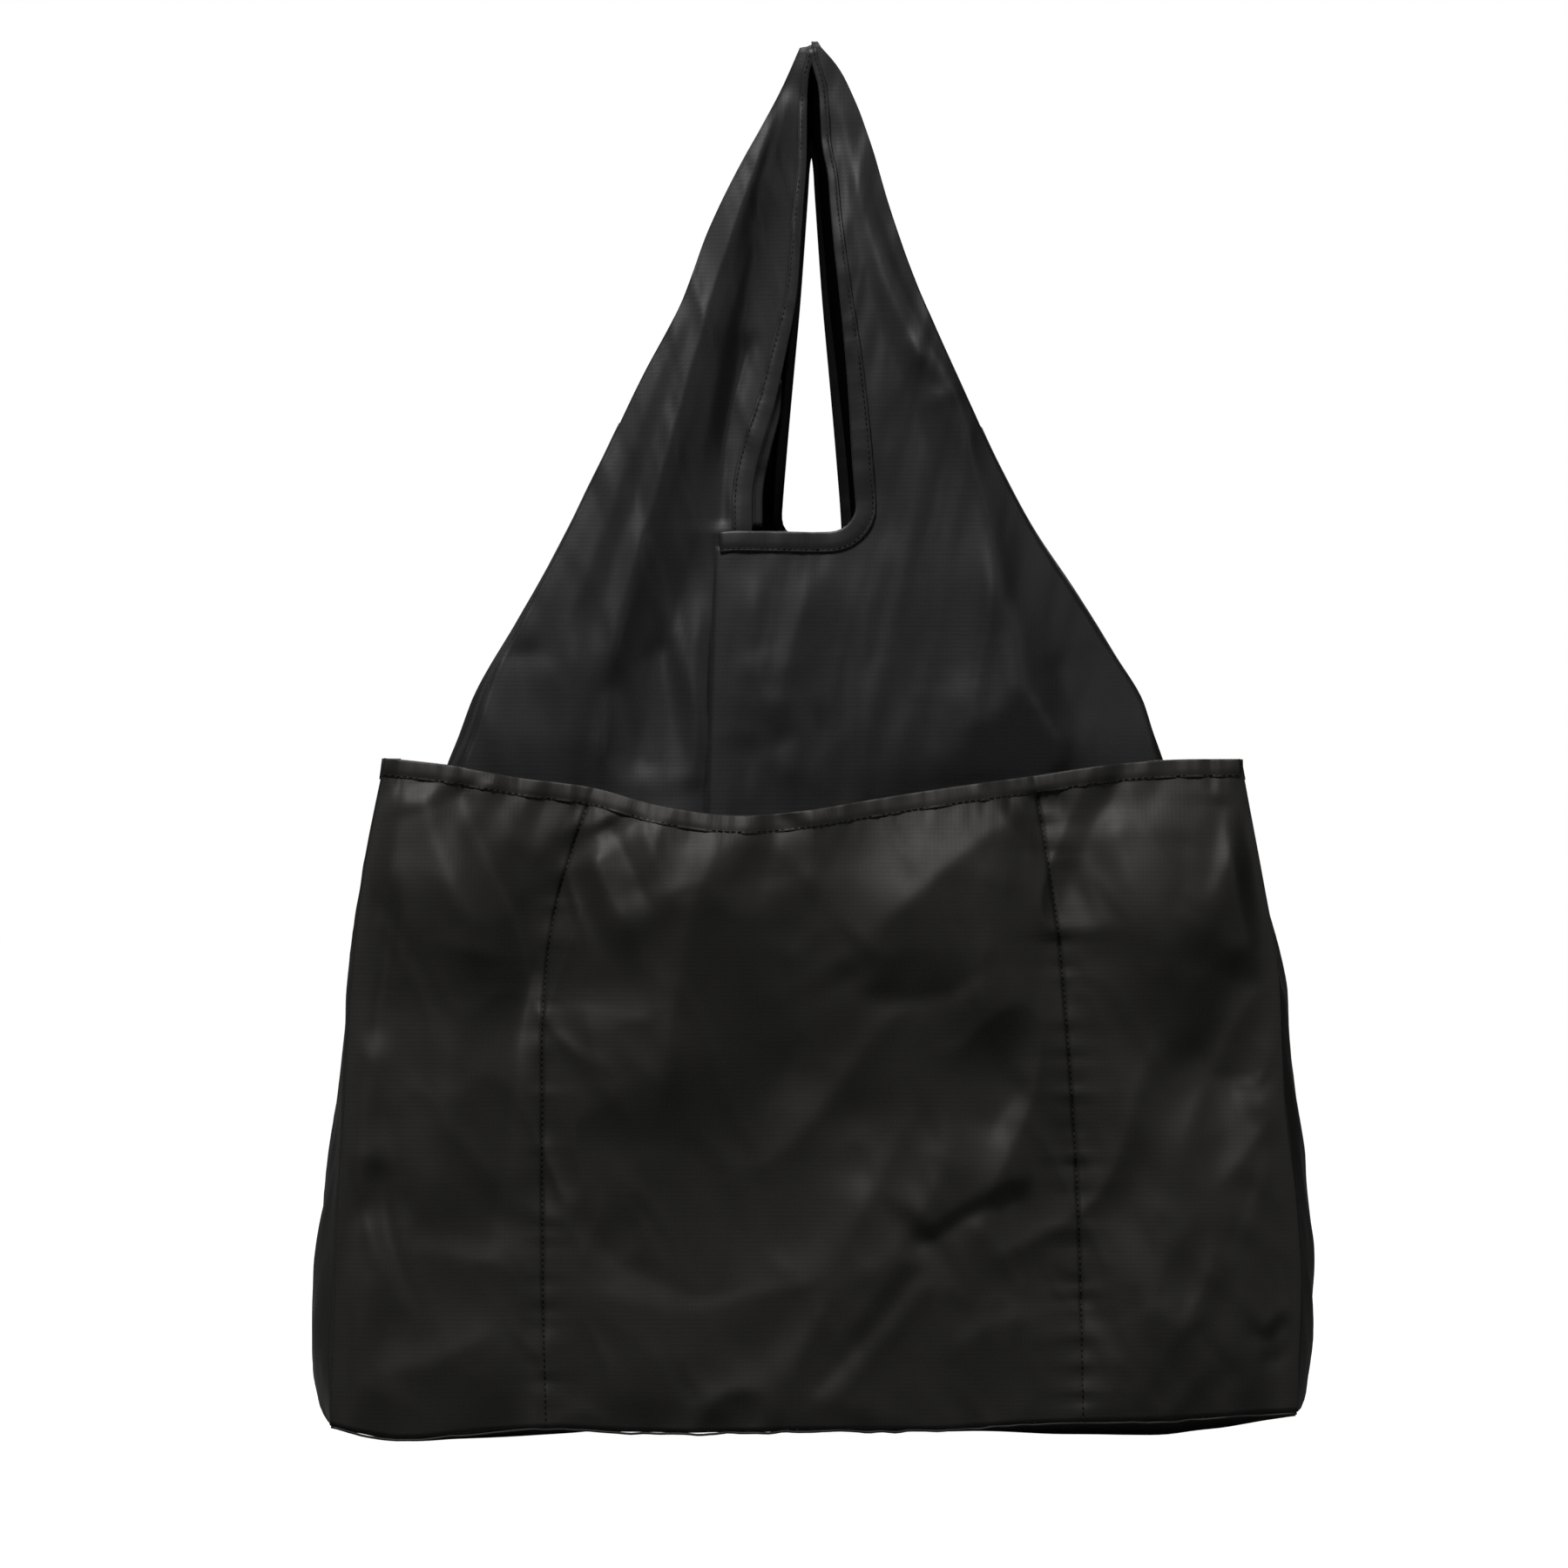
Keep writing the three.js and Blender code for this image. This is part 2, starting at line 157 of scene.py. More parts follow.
def fold(x, h, path, lift, spread, other, fade=(0.3, 0.3)):
    """A soft ridge, or a valley where lift is negative, along a path of (x, h) points.
    spread is its half width on the left of the path, other its half width on the right, and fade the shares
    of its length over which it starts and ends."""
    points = np.array(path, float)
    steps = np.linalg.norm(np.diff(points, axis=0), axis=1)
    before = np.concatenate([[0], np.cumsum(steps)])
    nearest = np.full(np.shape(x), 1e9)
    width, along = np.zeros(np.shape(x)), np.zeros(np.shape(x))
    for k, length in enumerate(steps):
        (px, ph), (dx, dh) = points[k], (points[k + 1] - points[k]) / length
        t = np.clip((x - px) * dx + (h - ph) * dh, 0, length)
        rx, rh = x - px - t * dx, h - ph - t * dh
        far = np.hypot(rx, rh)
        side = dx * (h - ph) - dh * (x - px)
        closer = far < nearest
        nearest = np.where(closer, far, nearest)
        width = np.where(closer, np.where(side > 0, spread, other), width)
        along = np.where(closer, (before[k] + t) / before[-1], along)
    total = before[-1]
    least = 0.75 * max(spread, other)
    start, end = max(fade[0] * total, least), max(fade[1] * total, least)
    ends = smooth(along * total / start) * smooth((1 - along) * total / end)
    rounded = np.sqrt(nearest**2 + CREASE_ROUNDING**2) - CREASE_ROUNDING
    return lift * ends * np.exp(-rounded / (FOLD_REACH * width))


def ridges(x, h, size_x, size_h, seed):
    """Random sharp-crested wrinkles between -0.5 and 0.5."""
    return 0.5 - np.sqrt(ripple(x, h, size_x, size_h, seed) ** 2 + 0.004) * 1.6


def facets(x, h, size_x, size_h, seed):
    """Flat-sided wrinkles that wander, between about -0.5 and 0.5."""
    x_off, h_off = (ripple(x, h, size_x * 1.3, size_h * 1.3, seed + k) for k in (200, 201))
    wander = ripple(x + 0.45 * size_x * x_off, h + 0.45 * size_h * h_off, size_x, size_h, seed)
    return 0.5 - np.sqrt(wander**2 + 0.0012) * 1.5


def relief(folds, x, h):
    total = np.zeros(np.broadcast(x, h).shape)
    x, h = np.broadcast_arrays(x, h)
    for f in folds:
        total = total + fold(x, h, *f)
    return total


# ---- Outlines ----
# Edges of the body cloth, as the bag hangs: (height, x).
LEFT_EDGE = curve(
    (0, -236), (90, -223), (210, -203), (300, -186), (340, -177), (353, -172), (393, -158), (413, -147),
    (446, -130), (493, -107), (539, -85), (573, -67), (613, -52), (646, -36), (666, -25), (688, -14),
    (706, -6),
)
RIGHT_EDGE = curve(
    (0, 236), (90, 223), (210, 203), (300, 187), (343, 178), (357, 173), (375, 167), (397, 153), (422, 137),
    (457, 114), (488, 97), (526, 79), (555, 66), (588, 52), (626, 39), (657, 30), (679, 22), (698, 12),
    (706, 5),
)
# Inner edges of the handles, from the mouth to the rod.
LEFT_MOUTH = curve(
    (440, -31), (462, -30), (482, -29.5), (502, -25), (523, -18.7), (547, -13.5), (579, -7.4), (606, -5.3),
    (625, -4), (648, -2.4), (664, -2.2), (681, -2), (692, -1.2), (700, 1), (706, 2),
)
RIGHT_MOUTH = curve(
    (440, 24), (470, 22.5), (487, 21), (536, 18), (579, 14), (606, 11), (625, 9.3), (642, 8), (654, 5.5),
    (673, 4.3), (688, 3), (696, 0.5), (706, -2),
)
BACK_MOUTH = curve(
    (440, 16), (461, 15.4), (500, 12.5), (536, 9.3), (579, 5.4), (606, 3.4), (632, 1.6), (650, 0.2),
    (660, -2), (706, -2),
)
NECK_H = 459
CORNER_RADIUS, CORNER_REACH = 18.5, 15.0  # how the cloth rounds the corner of the mouth, under the tape
PLEAT = curve((0, -50), (331, -52.5), (400, -51), (446, -49), (459, -48))
# The pocket band: its creased front edges, its widest outline, its hem and its foot.
BAND_LEFT = curve(
    (0, -241), (29, -241), (78, -239.5), (126, -238), (175, -235), (198, -234), (228, -232), (286, -226),
    (344, -215),
)
BAND_RIGHT = curve(
    (0, 243), (35, 243.5), (90, 245), (120, 243), (175, 237), (198, 236), (242, 234), (277, 228), (343, 216),
)
LEFT_OUTLINE = curve(
    (0, -238), (6, -242), (13, -248), (24, -252), (55, -256), (122, -249.5), (171, -243), (229, -234.5),
    (286, -227), (344, -215),
)
RIGHT_OUTLINE = curve(
    (0, 238), (10, 242), (15, 247), (33, 252), (55, 254), (78, 255), (144, 250), (198, 245), (242, 238.5),
    (277, 230), (343, 216),
)
HEM = curve(
    (-216, 344), (-185, 340.5), (-147, 334), (-110, 329), (-76, 320), (-36, 315), (0, 318), (30, 323),
    (75, 330), (112, 335), (145, 340), (179, 343), (216, 343.5),
)
FOOT = curve(
    (-243, 10), (-226, 6), (-210, 3.5), (-195, 3.6), (-178, 5.5), (-159, 7), (-135, 8.6), (-90, 6.6),
    (-60, 6.3), (0, 7.5), (75, 8.4), (100, 10.3), (134, 11.5), (182, 12.8), (223, 15.6), (243, 16.5),
)
UNDERSIDE = curve(
    (-241, 6), (-226, 3.2), (-214, 0.6), (-202, -0.8), (-178, -0.6), (-150, 0.4), (-122, 2.6), (-93, 5),
    (-9, 4.4), (55, 4.6), (90, 3.6), (130, 1.8), (163, 1), (176, 1.4), (206, 5), (231, 9), (243, 11),
)
LEFT_DIVIDER = curve(
    (0, -133), (80, -135), (160, -135.5), (229, -134.5), (264, -130), (297, -121), (330, -109.5),
)
RIGHT_DIVIDER = curve((0, 136), (109, 134), (198, 129), (264, 123), (304, 117), (336, 112))
FACET = curve(
    (0, 116), (310, 116), (345, 112), (392, 100), (428, 92), (464, 84), (520, 76), (580, 56), (706, 6),
)
UNDERARM_LEFT, UNDERARM_RIGHT = 514, 512
GUSSET_SWELL = curve(
    (0, 0), (150, 4), (300, 7), (345, 8), (372, 6.5), (393, 4), (420, 2), (460, 1), (ROD_H, 0),
)
HEM_WIDTH = 9.5
TAPE_WIDTH = 10.5


def tape_width(h):
    return np.interp(h, (500, 545, 580, 640, 706), (TAPE_WIDTH, 8.5, 6.5, 5.0, 4.0))


# ---- Folds: path, lift, spread on its left, spread on its right, fade ----
LEFT_FOLDS = [
    ([(-10, 700), (-25, 641), (-33, 580), (-40, 524), (-50, 442)], -5, 9, 5.5, (0.08, 0.3)),
    ([(-15, 690), (-40, 596), (-56, 538), (-70, 490), (-90, 420), (-104, 350)], 4.2, 11, 8, (0.1, 0.35)),
    ([(-14, 690), (-48, 600), (-72, 528), (-100, 442), (-124, 360)], -3, 9, 11, (0.15, 0.3)),
    ([(-56, 600), (-84, 520), (-112, 440), (-140, 370)], 2.6, 9, 8, (0.2, 0.3)),
    ([(-12, 690), (-48, 592), (-68, 520), (-88, 450), (-105, 380), (-110, 315)], 6.5, 4, 28, (0.08, 0.1)),
    ([(-52, 470), (-64, 430), (-80, 385), (-92, 330)], -3.4, 16, 6, (0.25, 0.1)),
    ([(-10, 690), (-30, 610), (-44, 560), (-56, 500), (-60, 450)], 4, 5, 16, (0.1, 0.3)),
    ([(-58, 430), (-60, 400), (-57, 365), (-60, 325)], 3.6, 6, 5, (0.3, 0.1)),
    ([(-74, 455), (-76, 400), (-72, 350), (-70, 310)], -2.6, 8, 7, (0.3, 0.1)),
    ([(-96, 400), (-108, 370), (-113, 345), (-112, 315)], -3.2, 6, 4, (0.3, 0.1)),
    ([(-118, 420), (-122, 380), (-121, 340), (-120, 315)], 2.4, 8, 5, (0.3, 0.1)),
    ([(-92, 388), (-76, 400), (-60, 403)], -1.4, 5, 4, (0.4, 0.4)),
    ([(-158, 396), (-140, 398), (-126, 390)], -1.8, 4, 6, (0.3, 0.5)),
    ([(-29, 562), (-36, 540), (-42, 519), (-45, 502), (-44.5, 460)], -2.6, 1.2, 6, (0.12, 0.03)),
]
CENTRE_FOLDS = [
    ([(8, 450), (-1, 428), (-8, 405), (-13, 380), (-15, 356)], 4, 3, 13, (0.35, 0.2)),
    ([(-36, 446), (-30, 425), (-24, 400), (-19, 376)], 2.2, 4, 10, (0.4, 0.3)),
    ([(2, 372), (-6, 352), (-14, 326)], 1.6, 3, 7, (0.35, 0.3)),
    ([(-33, 400), (-24, 376), (-12, 352)], 1.6, 5, 4.5, (0.3, 0.2)),
    ([(0, 376), (6, 355), (11, 330), (12, 310)], -2.6, 5, 6, (0.3, 0.1)),
    ([(-34, 360), (-33, 340), (-36, 310)], -2.6, 6, 6, (0.3, 0.1)),
    ([(24, 448), (27, 400), (27, 350), (25, 310)], 3, 18, 5, (0.35, 0.1)),
    ([(16, 432), (18, 400), (19, 350), (17, 310)], -1.8, 5, 5, (0.25, 0.1)),
    ([(40, 430), (50, 395), (62, 352), (66, 320)], -1.8, 7, 6, (0.3, 0.1)),
    ([(74, 392), (80, 360), (82, 320)], 1.5, 9, 8, (0.3, 0.1)),
]
RIGHT_FOLDS = [
    ([(14, 680), (38, 596), (74, 524), (88, 462), (102, 410), (116, 320)], 12, 13, 46, (0.35, 0.05)),
    ([(12, 690), (22, 640), (36, 588), (56, 546), (76, 504), (92, 470)], 4, 7, 6, (0.1, 0.35)),
    ([(10, 680), (20, 620), (34, 566), (52, 520), (66, 470), (72, 430)], -2.2, 7, 6, (0.1, 0.35)),
    ([(8, 670), (18, 600), (28, 540), (36, 500), (40, 450)], 2, 6, 6, (0.1, 0.4)),
    ([(54, 548), (60, 536), (66, 526)], -1.9, 2.2, 3),
    ([(58, 556), (68, 538), (74, 520)], 1.5, 3, 2.4),
    ([(48, 560), (54, 548), (58, 534)], 1.2, 3, 2.4),
    ([(30, 636), (44, 592), (58, 560), (74, 530)], -2.2, 4, 5, (0.2, 0.3)),
    ([(84, 464), (92, 428), (100, 392), (112, 345), (116, 310)], 3, 24, 7, (0.25, 0.05)),
    ([(120, 400), (130, 376), (134, 356)], -1.6, 6, 5),
    ([(32, 500), (38, 470), (44, 440)], -1.6, 6, 8, (0.4, 0.4)),
]
BACK_FOLDS = [
    ([(10, 700), (24, 641), (34, 580), (44, 500), (60, 400), (66, 320)], -3.6, 8, 7, (0.1, 0.2)),
    ([(14, 690), (40, 596), (70, 490), (96, 400), (104, 330)], 4, 10, 9, (0.1, 0.2)),
    ([(56, 600), (84, 520), (112, 440), (138, 370)], -2.8, 8, 9, (0.2, 0.2)),
    ([(-12, 690), (-30, 600), (-56, 510), (-84, 430), (-100, 350)], 3.8, 9, 8, (0.1, 0.2)),
    ([(-10, 690), (-20, 610), (-40, 520), (-56, 440), (-64, 350)], -3, 8, 8, (0.1, 0.2)),
    ([(-66, 560), (-92, 480), (-126, 400)], -2.4, 8, 8, (0.2, 0.3)),
    ([(-16, 446), (-10, 410), (0, 372), (4, 330)], 3, 8, 7, (0.2, 0.1)),
    ([(14, 446), (12, 420), (4, 380)], -2.8, 7, 6, (0.2, 0.3)),
    ([(30, 440), (22, 400), (24, 350), (26, 310)], 2.6, 8, 8, (0.2, 0.1)),
    ([(-40, 440), (-34, 400), (-36, 340), (-34, 310)], -2.4, 8, 7, (0.2, 0.1)),
]
BAND_FOLDS = [
    # left pocket
    ([(-181, 334), (-168, 300), (-150, 266), (-142, 236), (-150, 180)], -5, 5, 15, (0.06, 0.3)),
    ([(-196, 332), (-188, 300), (-172, 262), (-168, 220)], 4, 9, 9, (0.1, 0.4)),
    ([(-164, 335), (-150, 306), (-134, 290)], 2.6, 7, 6, (0.1, 0.4)),
    ([(-209, 290), (-213, 244), (-218, 222), (-221, 190)], -3.2, 3.5, 6, (0.25, 0.2)),
    ([(-206, 300), (-206, 250), (-212, 214)], 2.4, 4, 5),
    ([(-224, 190), (-228, 150), (-226, 110)], 1.8, 3, 5),
    ([(-218, 150), (-214, 110), (-206, 80), (-194, 56)], -2.4, 4, 5, (0.2, 0.4)),
    ([(-226, 120), (-217, 96), (-206, 74), (-190, 50)], 1.8, 4, 4, (0.2, 0.4)),
    ([(-150, 240), (-148, 190), (-156, 130), (-166, 80)], -2.4, 12, 11),
    ([(-176, 230), (-184, 170), (-186, 100)], 2.8, 14, 12),
    ([(-150, 60), (-190, 40), (-226, 34)], 2, 12, 10),
    # centre pocket
    ([(-34, 330), (-60, 268), (-71, 205), (-77, 146)], 8, 44, 12, (0.25, 0.3)),
    ([(-20, 306), (-10, 250), (-8, 200), (-30, 150)], -5, 20, 32, (0.1, 0.3)),
    ([(-104, 314), (-92, 290), (-78, 264)], -2.6, 3.2, 6, (0.1, 0.35)),
    ([(-112, 300), (-100, 272), (-84, 246)], 3.4, 7, 6, (0.15, 0.4)),
    ([(-88, 312), (-76, 286), (-66, 258)], 1.8, 6, 9, (0.1, 0.4)),
    ([(108, 318), (76, 296), (44, 268), (18, 244)], 5, 16, 13, (0.1, 0.4)),
    ([(100, 300), (90, 250), (70, 206)], 3, 18, 16, (0.2, 0.4)),
    ([(-10, 318), (-24, 290), (-30, 262)], -2.6, 6, 9, (0.1, 0.4)),
    ([(4, 320), (0, 290), (-6, 268)], 1.8, 6, 6, (0.1, 0.4)),
    ([(96, 246), (70, 226), (44, 222), (22, 232)], -3, 8, 10),
    ([(14, 244), (24, 226), (44, 214)], -2, 5, 8, (0.3, 0.4)),
    ([(114, 128), (84, 118), (62, 106), (46, 96)], -2.6, 4.5, 10, (0.2, 0.08)),
    ([(114, 136), (96, 131), (74, 120), (52, 104)], 3, 3.5, 14, (0.2, 0.1)),
    ([(112, 186), (94, 164), (88, 148)], -1.4, 6, 8),
    ([(56, 92), (34, 62), (12, 38), (-8, 16)], -1.1, 1.8, 4, (0.12, 0.2)),
    ([(62, 84), (40, 56), (18, 30), (4, 14)], 0.8, 2.0, 5, (0.12, 0.2)),
    ([(50, 100), (36, 80), (16, 50)], 1.2, 7, 3, (0.2, 0.3)),
    ([(-118, 230), (-104, 180), (-80, 150)], 3.2, 12, 12, (0.3, 0.4)),
    ([(-126, 120), (-96, 90), (-60, 74), (-20, 78)], -2.4, 16, 14),
    ([(-4, 190), (-8, 140), (-22, 96)], 1, 12, 14),
    ([(20, 180), (28, 150), (24, 120)], -1.2, 10, 10),
    ([(60, 40), (90, 60), (126, 66)], 2.4, 14, 12),
    ([(-120, 26), (-70, 22), (-20, 30)], 0.8, 10, 8),
    # right pocket
    ([(206, 326), (204, 300), (196, 270)], -2.4, 4, 9, (0.1, 0.3)),
    ([(216, 310), (204, 272), (190, 240)], 2, 8, 4, (0.2, 0.3)),
    ([(188, 310), (186, 282), (176, 250)], -2, 5, 9, (0.2, 0.4)),
    ([(150, 322), (160, 280), (180, 240), (200, 205)], 3.4, 12, 9, (0.15, 0.4)),
    ([(218, 250), (204, 214), (200, 180), (210, 158)], -5.2, 14, 11, (0.2, 0.3)),
    ([(236, 206), (226, 186), (216, 160)], 2.2, 5, 9, (0.25, 0.3)),
    ([(220, 172), (232, 168), (240, 158)], 1, 4, 3, (0.3, 0.2)),
    ([(226, 186), (236, 178), (242, 168)], -2.4, 3, 3, (0.3, 0.2)),
    ([(186, 206), (202, 184), (226, 170)], -2.4, 6, 7, (0.3, 0.4)),
    ([(148, 210), (160, 170), (180, 130), (196, 96)], 3, 14, 11, (0.3, 0.4)),
    ([(150, 150), (164, 110), (186, 76), (190, 60)], -2.4, 12, 10),
    ([(232, 150), (224, 124), (214, 96)], 2.4, 5, 5),
    ([(222, 140), (216, 114), (204, 90)], -2, 4, 5),
    ([(188, 62), (204, 44), (216, 26)], -1.8, 3, 4, (0.2, 0.3)),
    ([(164, 74), (188, 56), (206, 28)], 1.8, 6, 5),
    ([(240, 62), (230, 54), (214, 58)], -2.6, 2.6, 3.4, (0.15, 0.4)),
    ([(242, 70), (230, 62), (220, 50)], 2, 3, 2.4, (0.15, 0.4)),
    ([(242, 48), (232, 42), (222, 44)], -2, 2.4, 3, (0.15, 0.4)),
]
BACK_BAND_FOLDS = [
    ([(190, 334), (176, 296), (160, 250), (158, 190)], -5, 12, 12, (0.06, 0.3)),
    ([(160, 335), (150, 300), (140, 270)], 3, 8, 7, (0.1, 0.4)),
    ([(60, 314), (40, 268), (36, 210), (50, 160)], -6, 20, 20, (0.05, 0.45)),
    ([(100, 300), (84, 262), (70, 236)], 3.6, 9, 9, (0.1, 0.4)),
    ([(-104, 314), (-80, 280), (-40, 250), (-10, 236)], 4.6, 14, 13, (0.1, 0.4)),
    ([(-60, 316), (-50, 280), (-48, 250)], -3.4, 9, 8, (0.1, 0.4)),
    ([(-118, 150), (-84, 128), (-46, 98)], -3.6, 6, 11, (0.2, 0.15)),
    ([(-46, 104), (-20, 60), (6, 16)], 2.2, 4, 4, (0.15, 0.2)),
    ([(110, 170), (90, 110), (60, 60)], 3, 12, 12),
    ([(20, 180), (10, 120), (-6, 70)], -2.4, 12, 11),
    ([(-206, 318), (-196, 276), (-180, 240)], -4, 9, 9, (0.1, 0.3)),
    ([(-160, 322), (-164, 270), (-190, 210)], 3.4, 11, 9, (0.15, 0.4)),
    ([(-220, 230), (-206, 180), (-214, 140)], -4, 11, 10, (0.2, 0.3)),
    ([(-150, 160), (-176, 110), (-190, 60)], 2.8, 12, 10),
    ([(170, 150), (190, 100), (200, 50)], 2.6, 12, 12),
    ([(226, 160), (214, 110), (200, 70)], -2.6, 8, 8),
]


def tuft(x, h, seam_distance, size, seed, reach):
    """Little gathers that run away from a seam."""
    return ripple(x, h, size, size * 4, seed) * np.exp(-np.abs(seam_distance) / reach)


def upper_calm(h):
    """How much room the cloth has to move: less where it is drawn together at the rod."""
    return 0.45 + 0.55 * smooth((ROD_H - h) / 60)


def shown(h):
    """How strong the drawn folds are: they fade out inside the band."""
    return 1.1 * smooth((h - 290) / 70)


def held_in(x, h, out):
    """The body cloth stays behind the hem of the band, and is free above it."""
    return np.minimum(out, 4.5 + 0.3 * np.maximum(h - HEM(x), 0))


def hanging_folds(u, h, ridge, facet, fine, seed):
    """The small random folds of hanging cloth, from the (width, length) of each kind."""
    broad = 0.8 * ridges(u, h, *ridge, seed + 1) + 1.6 * facets(u, h, *facet, seed + 4)
    narrow = 0.55 * ridges(u, h, *fine, seed + 3) + 0.25 * ripple(u, h, 8, 30, seed + 2)
    return broad * upper_calm(h) + narrow


def front_left_out(x, h):
    behind_pleat = smooth((x - PLEAT(h) + 7) / 9) * smooth((466 - h) / 26)
    out = shown(h) * relief(LEFT_FOLDS, x, h) * upper_calm(h) * (1 - behind_pleat)
    out = out + hanging_folds(x + 0.28 * (h - 340), h, (15, 120), (24, 95), (6.5, 70), 10)
    edge = np.exp(-((x - LEFT_EDGE(h)) / 5) ** 2)
    drawn_in = 2.0 * behind_pleat + edge + 2.6 * smooth((h - 625) / 40)
    return held_in(x, h, out + 2.0 - drawn_in)


def front_right_out(x, h):
    at_pleat = np.exp(-np.maximum(x - PLEAT(h), 0) / 5.0) * smooth((470 - h) / 10)
    out = shown(h) * (relief(CENTRE_FOLDS, x, h) + relief(RIGHT_FOLDS, x, h) * upper_calm(h))
    out = out + hanging_folds(x - 0.22 * (h - 340), h, (17, 130), (26, 100), (6.5, 80), 20)
    # right of the facet's line the cloth turns towards the gusset, as far down as it shows above the band
    turned = 0.20 * np.maximum(x - FACET(h), 0) * smooth((600 - h) / 120) * smooth((h - 255) / 85)
    drawn_in = turned + 1.2 * smooth((h - 625) / 40) + 0.7 * at_pleat
    return held_in(x, h, out * (1 - 0.8 * at_pleat) + 2.2 - drawn_in)


def back_out(x, h):
    broad = 1.6 * facets(x, h, 26, 100, 34) + 0.8 * ridges(x, h, 9, 90, 31)
    narrow = 0.22 * ripple(x + 0.1 * h, h, 8, 30, 32)
    return 2.0 + (relief(BACK_FOLDS, x, h) + broad) * upper_calm(h) + narrow


# How the band swells at stations across it: x, then points of (height, swell) from its foot to its hem. It
# hangs out under the hem, and falls back in a hollow left of the middle.
BAND_SWELLS = [(x, curve((0, 0), *points)) for x, *points in (
    (-243, (343, 0)),
    (-218, (60, 3), (140, 2), (230, 4), (290, 6), (325, 3), (344, 0)),
    (-176, (40, 3), (110, 2.5), (180, 5), (240, 10), (280, 12), (310, 8), (330, 3), (342, 1)),
    (-134, (60, 1), (200, 2), (280, 4), (320, 1), (343, 0)),
    (-92, (30, 3), (90, 3), (160, 4), (220, 8), (262, 12), (290, 11), (312, 8), (326, 5)),
    (-22, (30, 1), (80, -1), (130, -3), (170, -1), (215, 4), (255, 9), (282, 12), (298, 11), (316, 9)),
    (40, (30, 2), (90, 4), (120, 4), (165, 2), (200, 5), (235, 10), (265, 11), (290, 9), (312, 6), (324, 4)),
    (84, (30, 2), (90, 3), (112, 5), (135, 6.5), (165, 4), (195, 5), (228, 12), (262, 12), (300, 8), (318, 5),
     (331, 3)),
    (124, (60, 1), (140, 3), (230, 4), (300, 3), (326, 0), (336, 0)),
    (176, (30, 4), (90, 7), (150, 4), (190, 3), (240, 9), (280, 12), (305, 8), (328, 3), (340, 1)),
    (212, (40, 4), (100, 6), (150, 1), (200, -1), (250, 5), (290, 9), (318, 4), (343, 0)),
    (243, (343, 0)),
)]


def band_swell(x, h):
    total = np.zeros(np.broadcast(x, h).shape)
    for (low, below), (high, above) in zip(BAND_SWELLS[:-1], BAND_SWELLS[1:]):
        inside = (x >= low) & (x < high)
        u = smooth((x - low) / (high - low))
        total = np.where(inside, below(h) * (1 - u) + above(h) * u, total)
    return total


def band_out(x, h, folds, seed):
    """The pocket band: puffed between its stitched seams, gathered under its hem."""
    drop = HEM(x) - HEM_WIDTH - h
    below = np.maximum(drop, 0)
    gathers = 1.7 * tuft(x + 0.5 * drop, h * 0.3, below, 11, seed, 22)
    gathers = gathers + 0.8 * tuft(x, h * 0.3, below - 2, 3.2, seed + 30, 5)
    gathers = gathers + 0.5 * tuft(x, h * 0.3, h - FOOT(x), 9, seed + 3, 9)
    seams = 0
    for divider, size, reach, own_seed in (
        (LEFT_DIVIDER, 1.0, 7, seed + 1), (RIGHT_DIVIDER, 1.2, 8, seed + 2)
    ):
        away = x - divider(h)
        seams = seams + 3.6 * np.exp(-np.abs(away) / 11) + np.exp(-((away / 1.1) ** 2))
        gathers = gathers + size * tuft(h, x * 0.3, away, 4.5, own_seed, reach)
    soft = 0.9 * ripple(x + 0.5 * h, h, 46, 64, seed + 4) + 2.4 * facets(x - 0.35 * h, h, 38, 58, seed + 5)
    soft = soft + 0.8 * facets(x + 0.4 * h, h, 17, 34, seed + 12) + 1.25 * band_swell(x, h)
    drawn = (1.2 - 0.35 * smooth((x - 130) / 30)) * relief(folds, x, h)
    edges = smooth((x - BAND_LEFT(h)) / 16) * smooth((BAND_RIGHT(h) - x) / 16)
    return (drawn + soft) * edges + gathers - seams * smooth(h / 90)


def front_band_out(x, h):
    return FRONT.band + band_out(x, h, BAND_FOLDS, 41)


def back_band_out(x, h):
    return BACK.band + band_out(x, h, BACK_BAND_FOLDS, 51)


# ---- Meshes ----
def add_object(name, data):
    made = bpy.data.objects.new(name, data)
    bpy.context.scene.collection.objects.link(made)
    return made


def new_object(name, verts, faces, uv=None):
    mesh = bpy.data.meshes.new(name)
    mesh.from_pydata(np.asarray(verts, float).reshape(-1, 3).tolist(), [], [list(f) for f in faces])
    mesh.polygons.foreach_set("use_smooth", [True] * len(mesh.polygons))
    if uv is not None:
        layer = mesh.uv_layers.new(name="cloth")
        loops = np.zeros(len(mesh.loops), np.int32)
        mesh.loops.foreach_get("vertex_index", loops)
        layer.data.foreach_set("uv", np.asarray(uv, np.float32).reshape(-1, 2)[loops].ravel())
    mesh.validate()
    mesh.update()
    return add_object(name, mesh)


def quads(index):
    """Faces between the points of a grid, from the points' numbers."""
    return np.stack([index[:-1, :-1], index[:-1, 1:], index[1:, 1:], index[1:, :-1]], axis=-1).reshape(-1, 4)


def grid_faces(rows, columns, start=0, wrap=False):
    index = start + np.arange(rows * columns).reshape(rows, columns)
    return quads(np.concatenate([index, index[:, :1]], axis=1) if wrap else index)


def thicken(piece):
    """Gives a sheet of cloth its thickness, half to each side, and a second material inside, which keep makes
    the near-black painted shade.
    """
    solid = piece.modifiers.new("thickness", "SOLIDIFY")
    solid.thickness = CLOTH * MM
    solid.offset = 0
    solid.material_offset = 1
    return piece


def laid_flat(flat_x, flat_h):
    """Where points of the cloth lie on its weave, in metres."""
    return np.stack(np.broadcast_arrays(flat_x * MM, flat_h * MM), axis=-1).reshape(-1, 2)


